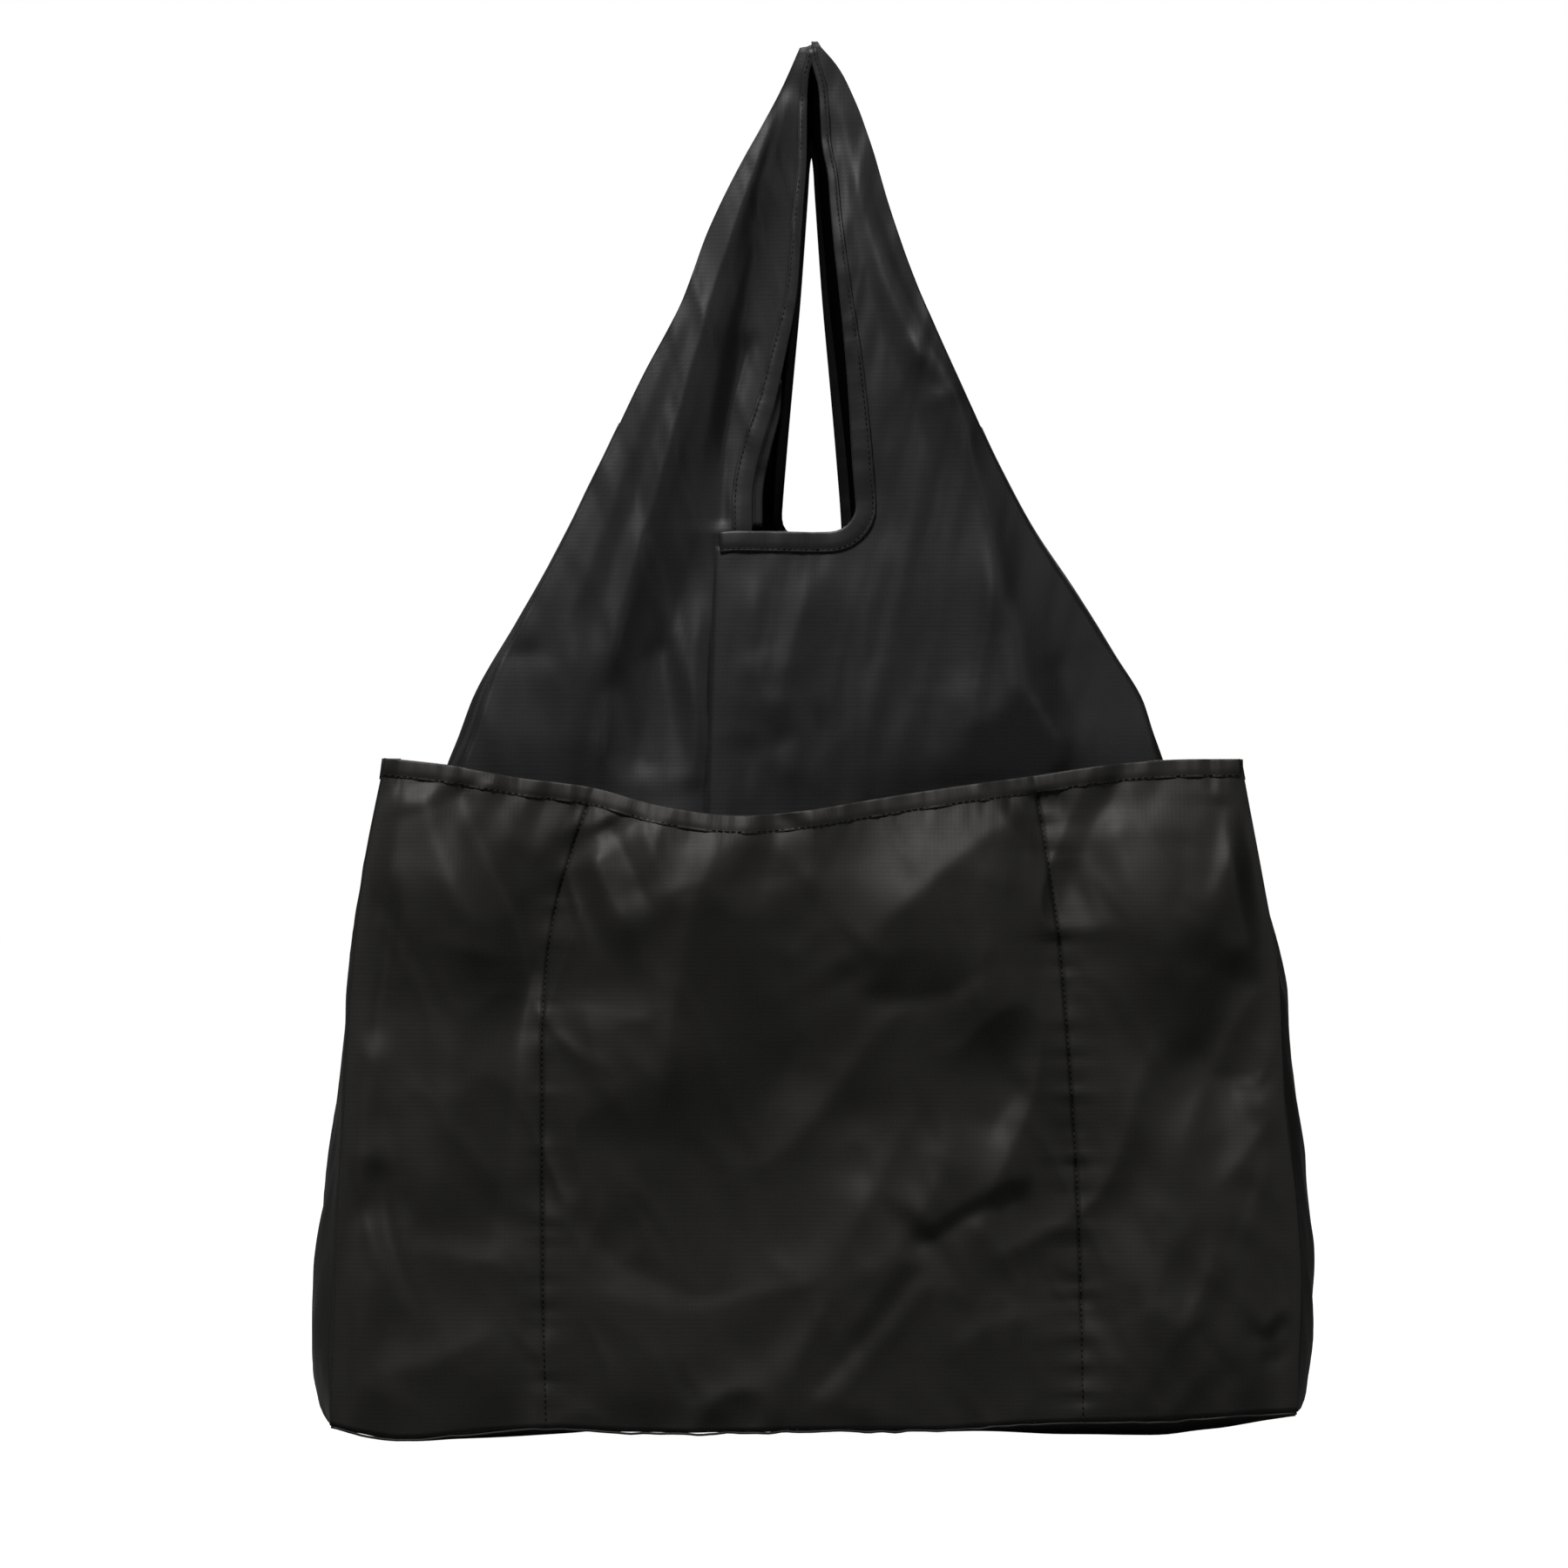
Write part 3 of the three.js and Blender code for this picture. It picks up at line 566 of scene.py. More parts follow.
def cloth_grid(name, points, flat_x, flat_h, flip=False):
    """A sheet from a grid of points."""
    faces = grid_faces(*points.shape[:2])
    if flip:
        faces = faces[:, ::-1]
    return thicken(new_object(name, points, faces, laid_flat(flat_x, flat_h)))


def spaced(low, high, step):
    return np.linspace(low, high, max(2, int(round((high - low) / step)) + 1))


def up_to_the_rod(leaf, left, right, out, columns):
    """A grid of cloth that rises in its leaf and ends just below the rod."""
    up = spaced(CLOTH_FOOT, ROD_H - 6, ROW_STEP)[:, None]
    share = np.linspace(0, 1, columns)[None, :]
    x = left(up) * (1 - share) + right(up) * share
    return leaf.place(x, up, out(x, up)), x, up


def over_the_rod(leaf, left, right, out, columns):
    """A grid of cloth that rises in its leaf, bends over the rod and ends a little way down the other
    side."""
    up = spaced(CLOTH_FOOT, ROD_H, ROW_STEP)[:, None]
    over = np.linspace(0, math.pi, 9)[1:-1, None]
    down = spaced(0, 14, ROW_STEP)[:, None]
    share = np.linspace(0, 1, columns)[None, :]
    x = left(up) * (1 - share) + right(up) * share
    top_x, top_out = x[-1], out(x[-1], ROD_H)
    radius = leaf.at_rod + top_out
    narrowed = top_x * (1 - 0.4 * np.sin(over))
    bent = np.stack([narrowed, leaf.side * radius * np.cos(over), 0.8 * radius * np.sin(over)], axis=-1) * MM
    other = BACK if leaf is FRONT else FRONT
    behind = other.place(top_x * (1 + 0.03 * down), ROD_H - down, top_out + 0.4)
    points = np.concatenate([leaf.place(x, up, out(x, up)), bent, behind])
    flat_x = np.concatenate([x, np.repeat(x[-1:], len(over) + len(down), axis=0)])
    return points, flat_x, np.concatenate([up, ROD_H + 3 * over, ROD_H + 9 + down])


def mouth_cloth(name, leaf, outer, mouth, centre_edge, out, sign, rise):
    """A handle together with the middle of its leaf, below the mouth. sign is the side of the handle, and
    rise makes the handle's grid."""
    low = NECK_H - TAPE_WIDTH / 2

    def seam(h):
        """The cloth's edge in the mouth, rounded at the corner as the tape over it is."""
        up = (h - low) / CORNER_RADIUS
        rounded = 1 - np.sqrt(np.clip(1 - (1 - up) ** 2, 0, 1))
        cut_in = np.where(h >= low, rounded * (up < 1), smooth((h - low + 26) / 26))
        return mouth(np.maximum(h, low)) + sign * (tape_width(h) / 2 - CORNER_REACH * cut_in)

    left, right = (seam, outer) if sign > 0 else (outer, seam)
    points, flat_x, flat_h = rise(leaf, left, right, out, 36)
    rows, columns = flat_x.shape
    # the middle of the leaf shares the seam column of the handle's grid
    shared = 0 if sign > 0 else columns - 1
    low_h = flat_h[flat_h[:, 0] <= low]
    share = np.linspace(0, 1, 30)[None, :-1]
    mid_x = centre_edge(low_h) * (1 - share) + flat_x[:len(low_h), shared, None] * share
    mid = leaf.place(mid_x, low_h, out(mid_x, low_h))
    verts = np.concatenate([points.reshape(-1, 3), mid.reshape(-1, 3)])
    uv = np.concatenate([laid_flat(flat_x, flat_h), laid_flat(mid_x, low_h)])
    index = rows * columns + np.arange(mid_x.size).reshape(mid_x.shape)
    index = np.concatenate([index, (np.arange(len(low_h)) * columns + shared)[:, None]], axis=1)
    faces = np.concatenate([grid_faces(rows, columns), quads(index)[:, ::sign]])
    return thicken(new_object(name, verts, faces[:, ::-leaf.side], uv))


def resample(path, step):
    """The path's points moved to even distances along it."""
    points = np.array(path, float)
    length = np.concatenate([[0], np.cumsum(np.linalg.norm(np.diff(points, axis=0), axis=1))])
    at = spaced(0, length[-1], step)
    return np.stack([np.interp(at, length, points[:, k]) for k in range(points.shape[1])], axis=-1)


def unit(vectors):
    return vectors / np.maximum(np.linalg.norm(vectors, axis=-1, keepdims=True), 1e-9)


def sideways(line):
    """Unit vectors to the right of a path, as it runs."""
    along = unit(np.gradient(line, axis=0))
    return np.stack([along[:, 1], -along[:, 0]], axis=-1)


def offset_path(path, amount, inset=None):
    """A path moved sideways: by an amount, or to lie this far inside a tape's outer edge."""
    line = resample(path, 2.0)
    if inset is not None:
        amount = amount * (tape_width(line[:, 1]) - inset)[:, None]
    return line + sideways(line) * amount


def strip(name, ring, length, width):
    """A closed strip from rings of points, with capped ends."""
    rows, columns = ring.shape[:2]
    last = (rows - 1) * columns
    ends = [list(range(columns)), list(range(last, last + columns))[::-1]]
    around = np.linspace(0, 2 * width, columns)
    faces = [*grid_faces(rows, columns, wrap=True), *ends]
    made = new_object(name, ring, faces, laid_flat(around, length[:, None]))
    work = bmesh.new()
    work.from_mesh(made.data)
    bmesh.ops.recalc_face_normals(work, faces=work.faces)
    work.to_mesh(made.data)
    work.free()
    made.data.update()
    return made


def ribbon(
    name, leaf, path, out, width, turn, thickness=1.2, lift=0.35, puckers=0.0, seed=70, step=3.0, sink=0.0
):
    """A tape along a path of (x, h) points, lying on the cloth. turn is the side that it covers: 1 is to
    the right of the path as it runs. The tape is a closed strip with rounded edges and a groove where it is
    stitched."""
    line = resample(path, step)
    normal = sideways(line) * turn
    across = np.array([0.0, 0.03, 0.12, 0.5, 0.78, 0.84, 0.9, 0.97, 1.0])
    bulge = np.array([0.0, 0.7, 1.0, 1.0, 0.95, 0.45, 0.9, 0.7, 0.0])
    length = np.concatenate([[0], np.cumsum(np.linalg.norm(np.diff(line, axis=0), axis=1))])
    wave = puckers * ripple(length, length * 0, 5.0, 9.0, seed)[:, None]
    wide = (tape_width(line[:, 1]) if width == TAPE_WIDTH else np.full(len(line), width))[:, None]
    xs = line[:, None, 0] + normal[:, None, 0] * across * wide
    hs = line[:, None, 1] + normal[:, None, 1] * across * wide
    base = out(xs, hs) + lift + wave - sink * across**3
    front = leaf.place(xs, hs, base + bulge * thickness / 2)
    behind = leaf.place(xs[:, ::-1], hs[:, ::-1], (base - bulge * thickness / 2)[:, ::-1])
    return strip(name, np.concatenate([front, behind[:, 1:-1]], axis=1), length, width)


def tube(name, line, radius, sides=8):
    """A round seam along points in metres."""
    along = unit(np.gradient(line, axis=0))
    up = np.where(np.abs(along[:, 2:]) > 0.8, [0.0, 1.0, 0.0], [0.0, 0.0, 1.0])
    side = unit(np.cross(along, up))
    up = np.cross(side, along)
    turn = np.linspace(0, 2 * math.pi, sides, endpoint=False)[None, :, None]
    ring = line[:, None] + (side[:, None] * np.cos(turn) + up[:, None] * np.sin(turn)) * radius * MM
    return strip(name, ring, np.linspace(0, 480, len(line)), radius * 3)


def stitches(name, points, normals, length, gap, radius):
    """Thread dashes along a path in the frame, in metres, raised a little along the normals."""
    dist = np.concatenate([[0], np.cumsum(np.linalg.norm(np.diff(points, axis=0), axis=1))]) / MM
    rings = np.array((0.0, 0.12, 0.5, 0.88, 1.0))
    fat = (0.35, 0.85, 1.0, 0.85, 0.35)
    rise = (-0.25, 0.05, 0.2, 0.05, -0.25)
    sides = 6
    turn = np.linspace(0, 2 * math.pi, sides, endpoint=False)
    verts, faces = [], []
    for k in range(int(dist[-1] // (length + gap))):
        at = k * (length + gap) + gap / 2 + rings * length
        spine = np.stack([np.interp(at, dist, points[:, c]) for c in range(3)], axis=-1)
        up = unit(np.stack([np.interp(at, dist, normals[:, c]) for c in range(3)], axis=-1))
        along = unit(spine[-1] - spine[0])
        start = len(verts)
        for p, n, f, r in zip(spine, up, fat, rise):
            side = np.cross(along, n)
            for a in turn:
                verts.append(p + n * r * MM + (side * math.cos(a) + n * math.sin(a)) * radius * f * MM)
        faces += list(grid_faces(len(rings), sides, start, wrap=True))
        faces.append([start + c for c in range(sides)][::-1])
        faces.append([start + (len(rings) - 1) * sides + c for c in range(sides)])
    return new_object(name, verts, faces)


def stitch_line(name, leaf, path, out, lift, length=2.3, gap=0.55, radius=0.26):
    x, h = resample(path, 1.5).T
    points = leaf.place(x, h, out(x, h) + lift)
    return stitches(name, points, np.tile([0.0, leaf.side, 0.0], (len(points), 1)), length, gap, radius)


# ---- Materials ----
def material(name):
    made = bpy.data.materials.new(name)
    made.use_nodes = True
    nodes, links = made.node_tree.nodes, made.node_tree.links
    return made, nodes, links, nodes["Principled BSDF"]


def set_inputs(node, **values):
    """Sets a node's inputs. An underscore stands for a space in an input's name."""
    for key, value in values.items():
        node.inputs[key.replace("_", " ")].default_value = value
    return node


def color_between(nodes, links, factor, dark, light, low=0.0, high=1.0):
    ramp = nodes.new("ShaderNodeValToRGB")
    for stop, color, position in zip(ramp.color_ramp.elements, (dark, light), (low, high)):
        stop.color = (*color, 1)
        stop.position = position
    links.new(factor, ramp.inputs["Fac"])
    return ramp.outputs["Color"]


def bumped(nodes, links, height, strength, distance, under=None):
    bump = set_inputs(nodes.new("ShaderNodeBump"), Strength=strength, Distance=distance)
    links.new(height, bump.inputs["Height"])
    if under is not None:
        links.new(under, bump.inputs["Normal"])
    return bump.outputs["Normal"]


def cloth_material(name, dark, light, roughness, sheen, weave, crinkle, gloss=(1, 1, 1, 1), specular=0.42):
    """Plain-woven taffeta: warp and weft, slubs, soft crinkles and slightly uneven dye. weave is the
    spacing of its threads in millimetres, over 2 pi."""
    made, nodes, links, shader = material(name)
    uv = nodes.new("ShaderNodeUVMap")
    uv.uv_map = "cloth"

    def stretched(x, y, scale, detail, rough=0.5):
        mapping = set_inputs(nodes.new("ShaderNodeMapping"), Scale=(x, y, 1))
        links.new(uv.outputs["UV"], mapping.inputs["Vector"])
        noise = set_inputs(nodes.new("ShaderNodeTexNoise"), Scale=scale, Detail=detail, Roughness=rough)
        links.new(mapping.outputs["Vector"], noise.inputs["Vector"])
        return noise.outputs["Fac"]

    def thread(direction):
        wave = set_inputs(nodes.new("ShaderNodeTexWave"), Distortion=0.6, Detail_Scale=2)
        wave.inputs["Scale"].default_value = 1 / (weave * MM * WAVE_BANDS)
        wave.bands_direction = direction
        links.new(uv.outputs["UV"], wave.inputs["Vector"])
        return wave.outputs["Fac"]

    def combined(operation, *values):
        node = nodes.new("ShaderNodeMath")
        node.operation = operation
        for socket, value in zip(node.inputs, values):
            if isinstance(value, (int, float)):
                socket.default_value = value
            else:
                links.new(value, socket)
        return node.outputs[0]

    threads = combined("MULTIPLY", thread("X"), thread("Y"))
    slubs = stretched(60, 900, 1, 3)
    crinkles = stretched(1, 0.6, 90, 4, 0.55)
    cloudy = stretched(1, 1, 9, 2)
    tone = combined("MULTIPLY", cloudy, 0.6)
    tone = combined("MULTIPLY_ADD", slubs, 0.3, tone)
    tone = combined("MULTIPLY_ADD", threads, 0.12, tone)
    rough = combined("MULTIPLY_ADD", crinkles, 0.16, roughness - 0.12)
    rough = combined("MULTIPLY_ADD", slubs, 0.08, rough)
    fine = bumped(nodes, links, threads, 0.35, 0.00006)
    soft = bumped(nodes, links, crinkles, crinkle, 0.0012, fine)
    links.new(color_between(nodes, links, tone, dark, light, 0.25, 0.8), shader.inputs["Base Color"])
    links.new(rough, shader.inputs["Roughness"])
    links.new(soft, shader.inputs["Normal"])
    set_inputs(
        shader, Sheen_Weight=sheen, Sheen_Roughness=0.35, Specular_IOR_Level=specular, Specular_Tint=gloss
    )
    return made


def thread_material():
    made, nodes, links, shader = material("thread")
    place = nodes.new("ShaderNodeTexCoord")
    noise = set_inputs(nodes.new("ShaderNodeTexNoise"), Scale=1400)
    links.new(place.outputs["Object"], noise.inputs["Vector"])
    color = color_between(nodes, links, noise.outputs["Fac"], (0.0012, 0.0012, 0.0012), (0.006, 0.006, 0.006))
    links.new(color, shader.inputs["Base Color"])
    links.new(bumped(nodes, links, noise.outputs["Fac"], 0.4, 0.0001), shader.inputs["Normal"])
    set_inputs(shader, Roughness=0.65, Specular_IOR_Level=0.25)
    return made


def grey(value):
    return (value, value, value)


BAND_DARK, BAND_LIGHT, BAND_GLOSS = (0.0073, 0.0069, 0.0066), (0.0124, 0.0118, 0.0112), (1, 0.97, 0.94, 1)
LOOKS = {
    "body_cloth": cloth_material("body_taffeta", grey(0.0098), grey(0.0165), 0.56, 0.02, 0.34, 0.09),
    "pocket_cloth": cloth_material(
        "pocket_taffeta", BAND_DARK, BAND_LIGHT, 0.61, 0.02, 0.34, 0.09, BAND_GLOSS
    ),
    "binding_tape": cloth_material(
        "binding_tape", (0.0078, 0.0078, 0.008), (0.013, 0.013, 0.0132), 0.52, 0.04, 0.55, 0.06
    ),
    "seam_thread": thread_material(),
}
# The inner shell of the cloth: near black and barely glossy, painted shade that stands in for the shade
# inside the bag where the lights still reach it.
INSIDE_SHADE = cloth_material("inside_painted_shade", grey(0.0007), grey(0.0016), 0.7, 0.0, 0.34, 0.05, specular=0.04)


def keep(piece, slot="body_cloth", *replaced):
    """Gives a piece the materials of the look named by slot, and hides the nodes of the model that it stands
    for.
    """
    piece.data.materials.append(LOOKS[slot])
    # Thickened pieces take the near-black painted shade on their inner shell.
    if piece.modifiers:
        piece.data.materials.append(INSIDE_SHADE)
    if replaced:
        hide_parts(*replaced)
    return piece


def bend_with_handle(piece):
    """A piece that runs from its leaf into a handle has its placement baked into its mesh."""
    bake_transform(piece)


def fold_with_bag(piece):
    """A piece between the leaves is hung on the front leaf's body and given a mesh of its own.
    outside, how far its edges lie outside the leaves, and h, the height where it fits exactly, are not used."""
    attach(piece, FRONT.body)
    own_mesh(piece)


def back_left_edge(h):
    return LEFT_EDGE(h) + 1.5


def back_right_edge(h):
    return RIGHT_EDGE(h) - 1.5


def hidden_edge(beside, far, h):
    """The hidden edge of a cloth: under the tape beside the mouth, then behind the pleat."""
    return beside + (far - beside) * smooth((NECK_H - h) / 12)


def front_hidden_edge(h):
    return hidden_edge(LEFT_MOUTH(h) - tape_width(h) / 2, -36, h)


def back_hidden_edge(h):
    return hidden_edge(BACK_MOUTH(h) + tape_width(h) / 2, 36, h)


def back_right_out(x, h):
    """As the rest of the back, but lying under the tape at the top and behind the pleat below."""
    behind_pleat = smooth((NECK_H - h) / 10) * smooth((6 - PLEAT(h) - x) / 8)
    return back_out(x, h) - 2.2 * smooth((h - 630) / 20) - 4.5 * behind_pleat


def build_body_cloth():
    grid = over_the_rod(FRONT, LEFT_EDGE, front_hidden_edge, front_left_out, 46)
    piece = cloth_grid("front_cloth_left", *grid)
    keep(piece, "body_cloth", "front_shoulder_left", "front_strap_left", "handle_crown_left")
    bend_with_handle(piece)

    piece = mouth_cloth(
        "front_cloth_right", FRONT, RIGHT_EDGE, RIGHT_MOUTH, PLEAT, front_right_out, 1, over_the_rod
    )
    keep(
        piece, "body_cloth", "front_panel", "front_shoulder_right", "front_strap_right", "handle_crown_right"
    )
    bend_with_handle(piece)

    grid = up_to_the_rod(BACK, back_hidden_edge, back_right_edge, back_right_out, 46)
    piece = keep(
        cloth_grid("back_cloth_right", *grid, flip=True),
        "body_cloth", "back_shoulder_right", "back_strap_right",
    )
    bend_with_handle(piece)

    piece = mouth_cloth(
        "back_cloth_left", BACK, back_left_edge, lambda h: -BACK_MOUTH(h), lambda h: -PLEAT(h), back_out, -1,
        up_to_the_rod,
    )
    keep(piece, "body_cloth", "back_panel", "back_shoulder_left", "back_strap_left")
    bend_with_handle(piece)


def arc(cx, cy, radius, start, end, count=10):
    angles = np.radians(np.linspace(start, end, count))
    return [(cx + radius * math.cos(a), cy + radius * math.sin(a)) for a in angles]


def edge_path(edge, low, high):
    return [(float(edge(h)), h) for h in spaced(low, high, 6)]


def front_neck_path():
    """The inner edge of the tape on the front: along the mouth and up the right handle."""
    bottom = [(-47.5, NECK_H - 0.5), (-40, NECK_H + 0.3), (-20, NECK_H), (0, NECK_H - 0.5), (8, NECK_H - 0.4)]
    return bottom + arc(9, NECK_H + 13, 13.3, -88, -4) + edge_path(RIGHT_MOUTH, NECK_H + 18, ROD_H - 1)


def back_neck_path():
    """The same on the back, up the left handle."""
    neck = [(x, NECK_H - 1) for x in np.linspace(46, -4, 10)]
    corner = arc(9 - float(BACK_MOUTH(470)), NECK_H + 8, 9, 270, 180)
    return neck + corner + edge_path(lambda h: -BACK_MOUTH(h), NECK_H + 10, ROD_H - 10)


def build_bindings():
    """The tapes on the edges of the mouth and the handles, each with its line of stitches."""
    left = edge_path(LEFT_MOUTH, NECK_H - 6, ROD_H - 1)
    back_right = edge_path(BACK_MOUTH, NECK_H - 6, ROD_H - 10)
    plans = [
        ("neck_{}_front", FRONT, "right", front_neck_path(), front_right_out, 1, 70,
         ("front_neck_binding", "front_strap_binding_right")),
        ("strap_{}_front_left", FRONT, "left", left, front_left_out, -1, 71, ("front_strap_binding_left",)),
        ("neck_{}_back", BACK, "left", back_neck_path(), back_out, -1, 72,
         ("back_neck_binding", "back_strap_binding_left")),
        ("strap_{}_back_right", BACK, "right", back_right, back_out, 1, 73, ("back_strap_binding_right",)),
    ]
    for name, leaf, hand, path, out, turn, seed, nodes in plans:
        tape = ribbon(
            name.format("tape"), leaf, path, out, TAPE_WIDTH, turn, lift=0.85, puckers=0.25, seed=seed
        )
        bend_with_handle(keep(tape, "binding_tape", *nodes))
        thread = stitch_line(name.format("stitches"), leaf, offset_path(path, turn, inset=1.7), out, 1.2)
        bend_with_handle(keep(thread, "seam_thread"))


def build_turned_tape():
    """The part of the left handle's tape that turns inwards, above the mouth."""
    heights = spaced(461, 536, 3)[:, None]
    across = np.linspace(0, 1, 6)[None, :]
    turned = curve((461, 5.6), (500, 5.4), (520, 4.2), (536, 0.6))(heights) * across
    inside = front_left_out(LEFT_MOUTH(heights), heights) + 0.8 - 3.2 * across**0.6
    points = FRONT.place(LEFT_MOUTH(heights) + turned - 0.4, heights, inside)
    tape = keep(cloth_grid("strap_tape_front_left_turned", points, turned, heights), "binding_tape")
    bend_with_handle(tape)


def build_strap_hems():
    """The narrow hems along the outer edges of the handles, round the armholes."""
    plans = [
        (FRONT, "left", LEFT_EDGE, front_left_out, UNDERARM_LEFT, ROD_H - 2, -1),
        (FRONT, "right", RIGHT_EDGE, front_right_out, UNDERARM_RIGHT, ROD_H - 2, 1),
        (BACK, "left", back_left_edge, back_out, UNDERARM_LEFT, ROD_H - 10, -1),
        (BACK, "right", back_right_edge, back_out, UNDERARM_RIGHT, ROD_H - 10, 1),
    ]
    for leaf, hand, edge, out, low, top, sign in plans:
        path = [(x - sign * 0.4, h) for x, h in edge_path(edge, low - 4, top)]
        name = f"armhole_hem_{leaf.name}_{hand}"
        hem = ribbon(name, leaf, path, out, 6.0, -sign, thickness=1.0, lift=-0.5, puckers=0.15, seed=80)
        bend_with_handle(keep(hem, "body_cloth", f"{leaf.name}_strap_hem_{hand}"))


def side_points(edge, outline, outs, heights, columns, wobble):
    """A wall from the front leaf round to the back leaf, bulging out to its outline. outs are how far the
    front and the back stand out along its edge."""
    share = np.linspace(-1, 1, columns)[None, :]
    h = heights[:, None]
    front, back = (leaf.depth(h) + out(edge(h), h) for leaf, out in zip((FRONT, BACK), outs))
    bow = 1 - np.abs(share) ** 2.2
    x = edge(h) * (1 - bow) + outline(h) * bow + wobble(share * front, h) * (1 - share**8)
    y = share * np.where(share < 0, front, back)
    return np.stack(np.broadcast_arrays(x * MM, y * MM, BASE_Z + h * MM), axis=-1)


def build_gusset(hand, sign, edge, out, top, bulge, seed):
    """The side wall of the body, up to the underarm."""
    def outline(h):
        return edge(h) + sign * bulge * GUSSET_SWELL(h)

    def wobble(y, h):
        return 1.6 * ripple(y, h, 17, 60, seed) + 0.5 * ripple(y, h, 8, 22, seed + 1)

    heights = spaced(CLOTH_FOOT, top, 3.5)
    points = side_points(edge, outline, (out, back_out), heights, 32, wobble)
    flat = np.linspace(-75, 75, 32)[None, :]
    piece = cloth_grid(f"gusset_cloth_{hand}", points, flat, heights[:, None], flip=sign < 0)
    fold_with_bag(keep(piece, "body_cloth", f"gusset_{hand}", f"underarm_hem_{hand}"))


def build_side_pocket(hand, sign, edge, outline, seed):
    """The side wall of the band, with a hem along its top: the top rows, doubled."""
    def wobble(y, h):
        crease = 1.6 * ridges(y + 0.3 * h, h, 20, 64, seed + 5) - 3.5 * np.exp(-np.abs(y + 4) / 12)
        return (
            2.2 * ripple(y, h, 26, 50, seed + 2) * smooth((h - 10) / 40)
            + sign * crease * smooth((h - 10) / 60)
            + 0.6 * ripple(y + 0.4 * h, h, 10, 18, seed + 3)
            + 0.8 * tuft(y, h * 0.3, 344 - h, 6, seed + 4, 12)
        )

    columns = 44
    heights = np.linspace(float(FOOT(edge(10))), float(HEM(edge(340))), 96)
    points = side_points(edge, outline, (front_band_out, back_band_out), heights, columns, wobble)
    flat = np.linspace(-80, 80, columns)[None, :]
    piece = cloth_grid(f"side_pocket_cloth_{hand}", points, flat, heights[:, None], flip=sign < 0)
    fold_with_bag(keep(piece, "pocket_cloth", f"side_pocket_{hand}"))

    drops = (0, HEM_WIDTH * 0.5, HEM_WIDTH)
    rows = points[[int(np.argmin(np.abs(heights - (heights[-1] - drop)))) for drop in drops]]
    thick = np.array([0.9 * MM * sign, 0, 0])
    ring = np.stack([*(rows + thick), *(rows - thick)[::-1]], axis=1)
    hem = strip(f"side_hem_{hand}", ring, np.linspace(0, 90, columns), HEM_WIDTH)
    fold_with_bag(keep(hem, "pocket_cloth", f"side_pocket_hem_{hand}"))


def build_sides():
    build_gusset("left", -1, LEFT_EDGE, front_left_out, UNDERARM_LEFT, 1.0, 91)
    build_gusset("right", 1, RIGHT_EDGE, front_right_out, UNDERARM_RIGHT, 0.15, 95)
    build_side_pocket("left", -1, BAND_LEFT, LEFT_OUTLINE, 91)
    build_side_pocket("right", 1, BAND_RIGHT, RIGHT_OUTLINE, 95)


def band_columns(h):
    """The x of every column at its own heights. The columns follow the sewn lines and crowd beside them."""
    edges = (BAND_LEFT, LEFT_DIVIDER, RIGHT_DIVIDER, BAND_RIGHT)
    x, start = [], 0
    for left, right, count in zip(edges, edges[1:], BAND_COLUMNS):
        u = np.linspace(0, 1, count, endpoint=False)
        u = u - 0.72 * np.sin(2 * math.pi * u) / (2 * math.pi)
        own = h[:, start:start + count]
        x.append(left(own) * (1 - u) + right(own) * u)
        start += count
    return np.concatenate([*x, BAND_RIGHT(h[:, start:])], axis=1)


def build_band_front(leaf, out, seed):
    """The front or back of the band: its cloth, its hem and its stitches."""
    share = np.linspace(0, 1, 122)[:, None]
    h = np.repeat(5 + 330 * share, sum(BAND_COLUMNS) + 1, axis=1)
    for _ in range(3):
        x = band_columns(h)
        h = FOOT(x) + (HEM(x) - FOOT(x)) * share
    piece = cloth_grid(f"{leaf.name}_pocket_cloth", leaf.place(x, h, out(x, h)), x, h, flip=leaf.side > 0)
    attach(keep(piece, "pocket_cloth", f"{leaf.name}_pocket_panel"), leaf.body)

    path = [(a, float(HEM(a)) + 0.2) for a in spaced(-215.5, 216, 3)]
    hem = ribbon(
        f"{leaf.name}_hem", leaf, path, out, HEM_WIDTH, 1, thickness=1.0, lift=0.75, puckers=0.5, seed=seed,
        step=1.6, sink=0.5,
    )
    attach(keep(hem, "pocket_cloth", f"{leaf.name}_pocket_hem"), leaf.body)
    line = offset_path(path, HEM_WIDTH - 1.3)
    thread = stitch_line(f"{leaf.name}_hem_stitches", leaf, line, out, 0.75, 2.6, 0.7)
    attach(keep(thread, "seam_thread"), leaf.body)
    for hand, divider in (("left", LEFT_DIVIDER), ("right", RIGHT_DIVIDER)):
        low, top = float(FOOT(divider(10))), float(HEM(divider(330))) - 2
        path = [(float(divider(b)), b) for b in spaced(low, top, 4)]
        thread = stitch_line(f"{leaf.name}_divider_stitches_{hand}", leaf, path, out, 0.35, 2.4, 0.6, 0.32)
        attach(keep(thread, "seam_thread", f"{leaf.name}_pocket_divider_{hand}"), leaf.body)


def build_seams(leaf, out):
    """Narrow rolled seams where the band turns its corners and where it meets the base."""
    x = spaced(-241, 243, 3)
    h = FOOT(x)
    wave = 0.5 * ripple(x, x * 0, 7, 9, 77 + leaf.side)
    line = leaf.place(x, h - 0.9 + wave, out(x, h) - 0.2)
    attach(keep(tube(f"foot_seam_{leaf.name}", line, 0.6), "pocket_cloth"), leaf.body)
    for hand, edge in (("left", BAND_LEFT), ("right", BAND_RIGHT)):
        h = spaced(float(FOOT(edge(10))), float(HEM(edge(340))) - 1, 3)
        line = leaf.place(edge(h), h, out(edge(h), h))
        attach(keep(tube(f"corner_seam_{leaf.name}_{hand}", line, 0.45), "pocket_cloth"), leaf.body)


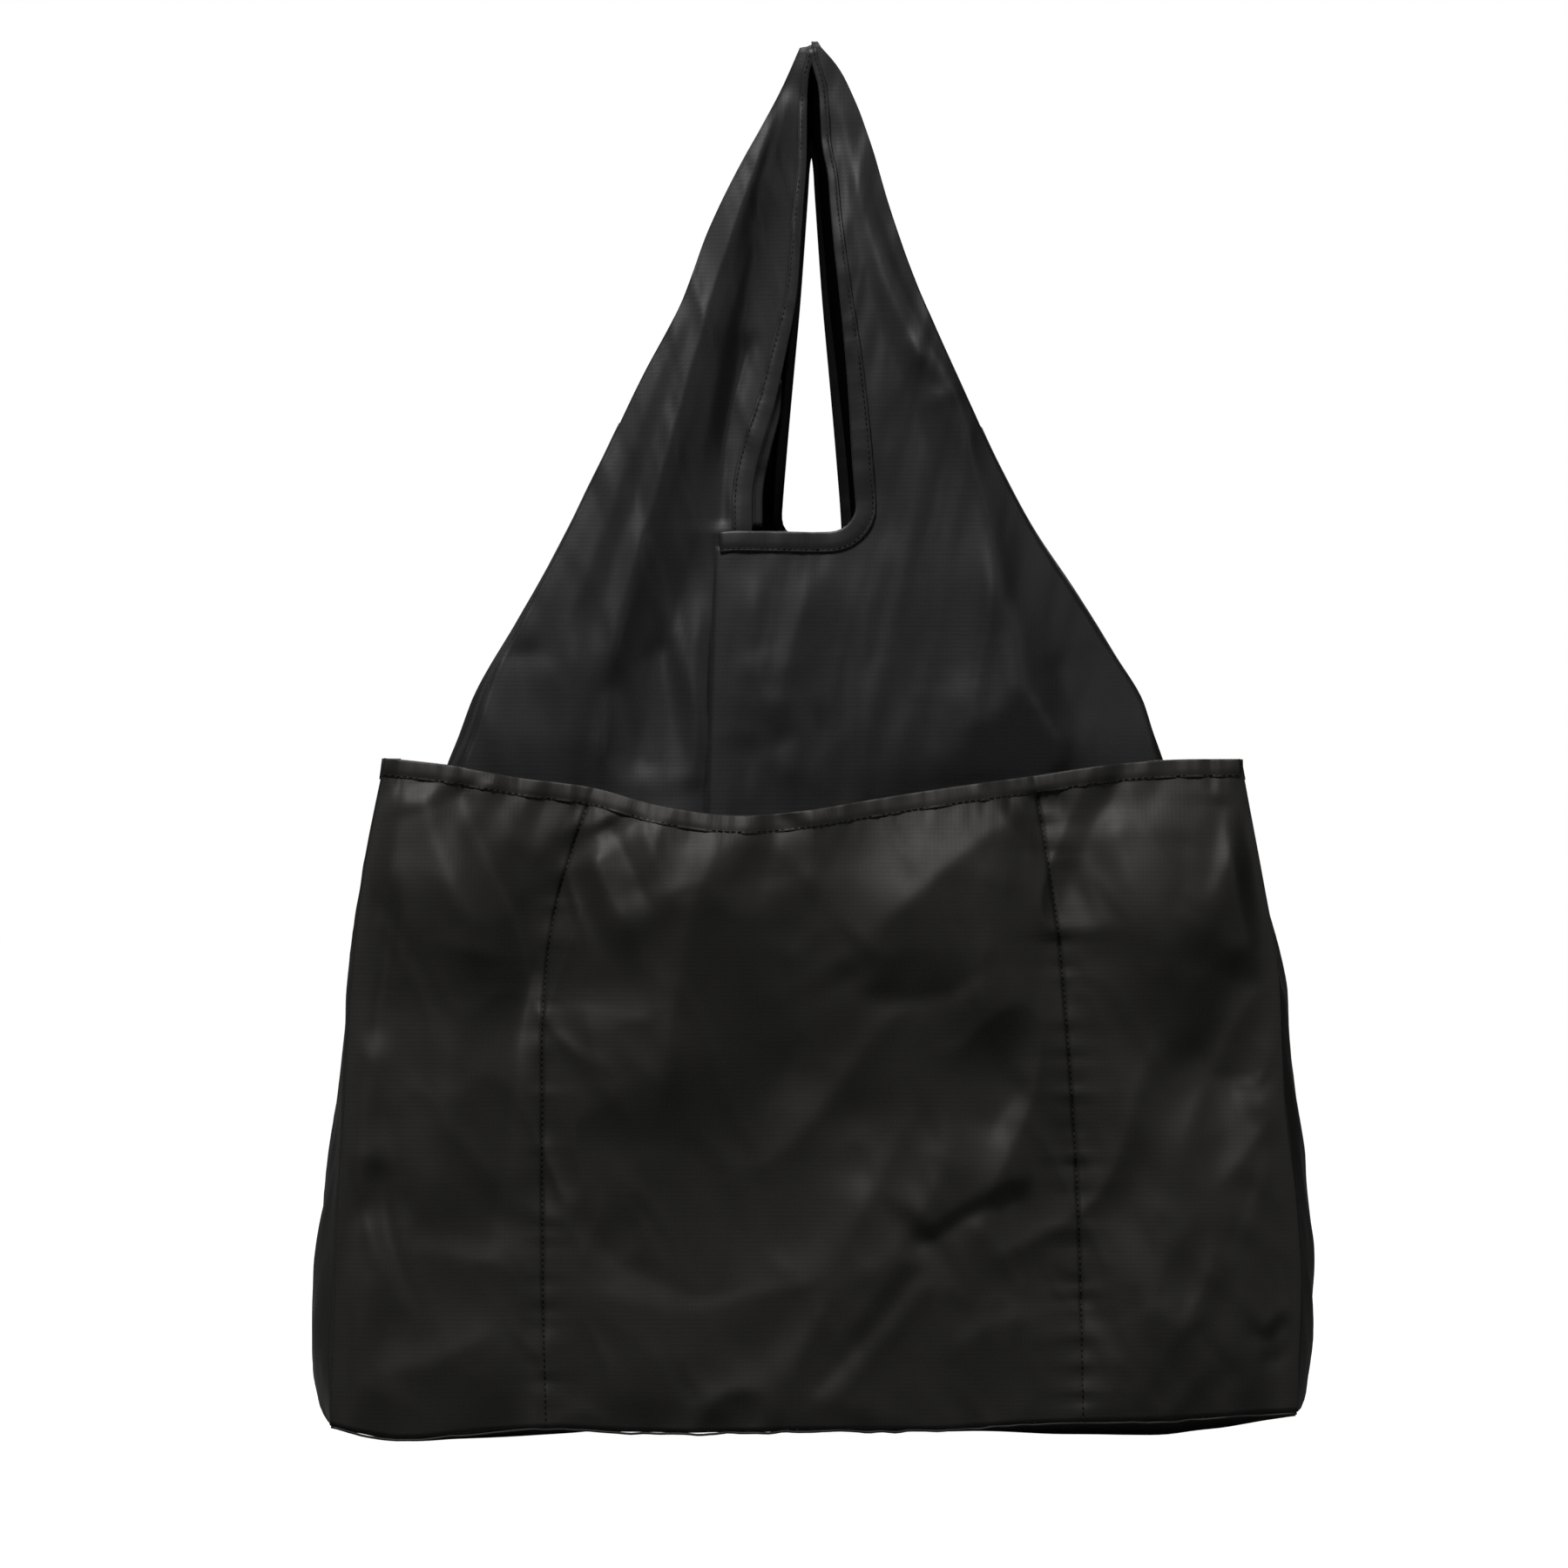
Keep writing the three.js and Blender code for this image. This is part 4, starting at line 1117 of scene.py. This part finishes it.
def build_base():
    x = spaced(-241, 243, 4.5)[:, None]
    share = np.linspace(-1, 1, 44)[None, :]
    foot = FOOT(x)
    front, back = FRONT.depth(foot) + front_band_out(x, foot), BACK.depth(foot) + back_band_out(x, foot)
    y = share * np.where(share < 0, front, back)
    sag = 1 - np.abs(share) ** 3
    h = foot * (1 - sag) + UNDERSIDE(x) * sag + 0.9 * ripple(x, y, 30, 22, 99) * (1 - share**6)
    points = np.stack(np.broadcast_arrays(x * MM, y * MM, BASE_Z + h * MM), axis=-1)
    fold_with_bag(keep(cloth_grid("base_cloth", points, x, y), "body_cloth", "base_panel"))


# ---- Camera, light and floor ----
FRAME_WIDTH = 0.799  # what the picture takes in across, at the bag
LENS = 200.0
SENSOR = 36.0
VIEW_X, VIEW_H = -14.0, 331.0
ROOM_LIGHT = 0.008  # how bright the white room is to the cloth, against what the camera sees
FLOOR_SIZE, FLOOR_DROP = 14.0, 0.004


def build_camera():
    camera = bpy.data.cameras.new("camera")
    camera.lens, camera.sensor_width = LENS, SENSOR
    made = add_object("camera", camera)
    made.location = (VIEW_X * MM, -FRAME_WIDTH * LENS / SENSOR, BASE_Z + VIEW_H * MM)
    made.rotation_euler = (math.radians(90), 0, 0)
    bpy.context.scene.camera = made


def softbox(name, place, size, power):
    light = bpy.data.lights.new(name, "AREA")
    light.shape = "RECTANGLE"
    light.size, light.size_y = size
    light.energy = power
    made = add_object(name, light)
    made.location = place
    middle = Vector((0, 0, -0.38))
    made.rotation_euler = (middle - Vector(place)).to_track_quat("-Z", "Y").to_euler()


def build_floor():
    """A floor that is white to the camera and dim to the cloth."""
    corners = [(x * FLOOR_SIZE, y * FLOOR_SIZE, 0) for x, y in ((-1, -1), (1, -1), (1, 1), (-1, 1))]
    floor = new_object("floor", corners, [(0, 1, 2, 3)])
    floor.location.z = CAD_BOX[0].z - FLOOR_DROP
    made, nodes, links, shader = material("pale_floor")
    set_inputs(shader, Base_Color=(0.15, 0.15, 0.15, 1), Roughness=0.9, Emission_Color=(1, 1, 1, 1))
    seen = nodes.new("ShaderNodeLightPath")
    links.new(seen.outputs["Is Camera Ray"], shader.inputs["Emission Strength"])
    floor.data.materials.append(made)


def build_room():
    """A room that is white to the camera and dim to the cloth, and its lights."""
    world = bpy.data.worlds.new("white_room")
    bpy.context.scene.world = world
    world.use_nodes = True
    nodes, links = world.node_tree.nodes, world.node_tree.links
    background = set_inputs(nodes["Background"], Color=(1, 1, 1, 1))
    seen = nodes.new("ShaderNodeLightPath")
    level = set_inputs(nodes.new("ShaderNodeMapRange"), To_Min=ROOM_LIGHT, To_Max=1.0)
    links.new(seen.outputs["Is Camera Ray"], level.inputs["Value"])
    links.new(level.outputs["Result"], background.inputs["Strength"])
    softbox("key", (-0.8, -1.1, 1.9), (0.9, 0.7), 74)
    softbox("fill", (1.8, -1.6, 0.3), (0.6, 1.2), 6)
    softbox("rear", (0.15, 2.2, 1.3), (1.6, 1.0), 56)
    bpy.context.scene.view_settings.view_transform = "Standard"


build_camera()
build_body_cloth()
build_bindings()
build_turned_tape()
build_strap_hems()
build_sides()
for leaf, out, seed in ((FRONT, front_band_out, 61), (BACK, back_band_out, 65)):
    build_band_front(leaf, out, seed)
    build_seams(leaf, out)
build_base()
build_floor()
build_room()
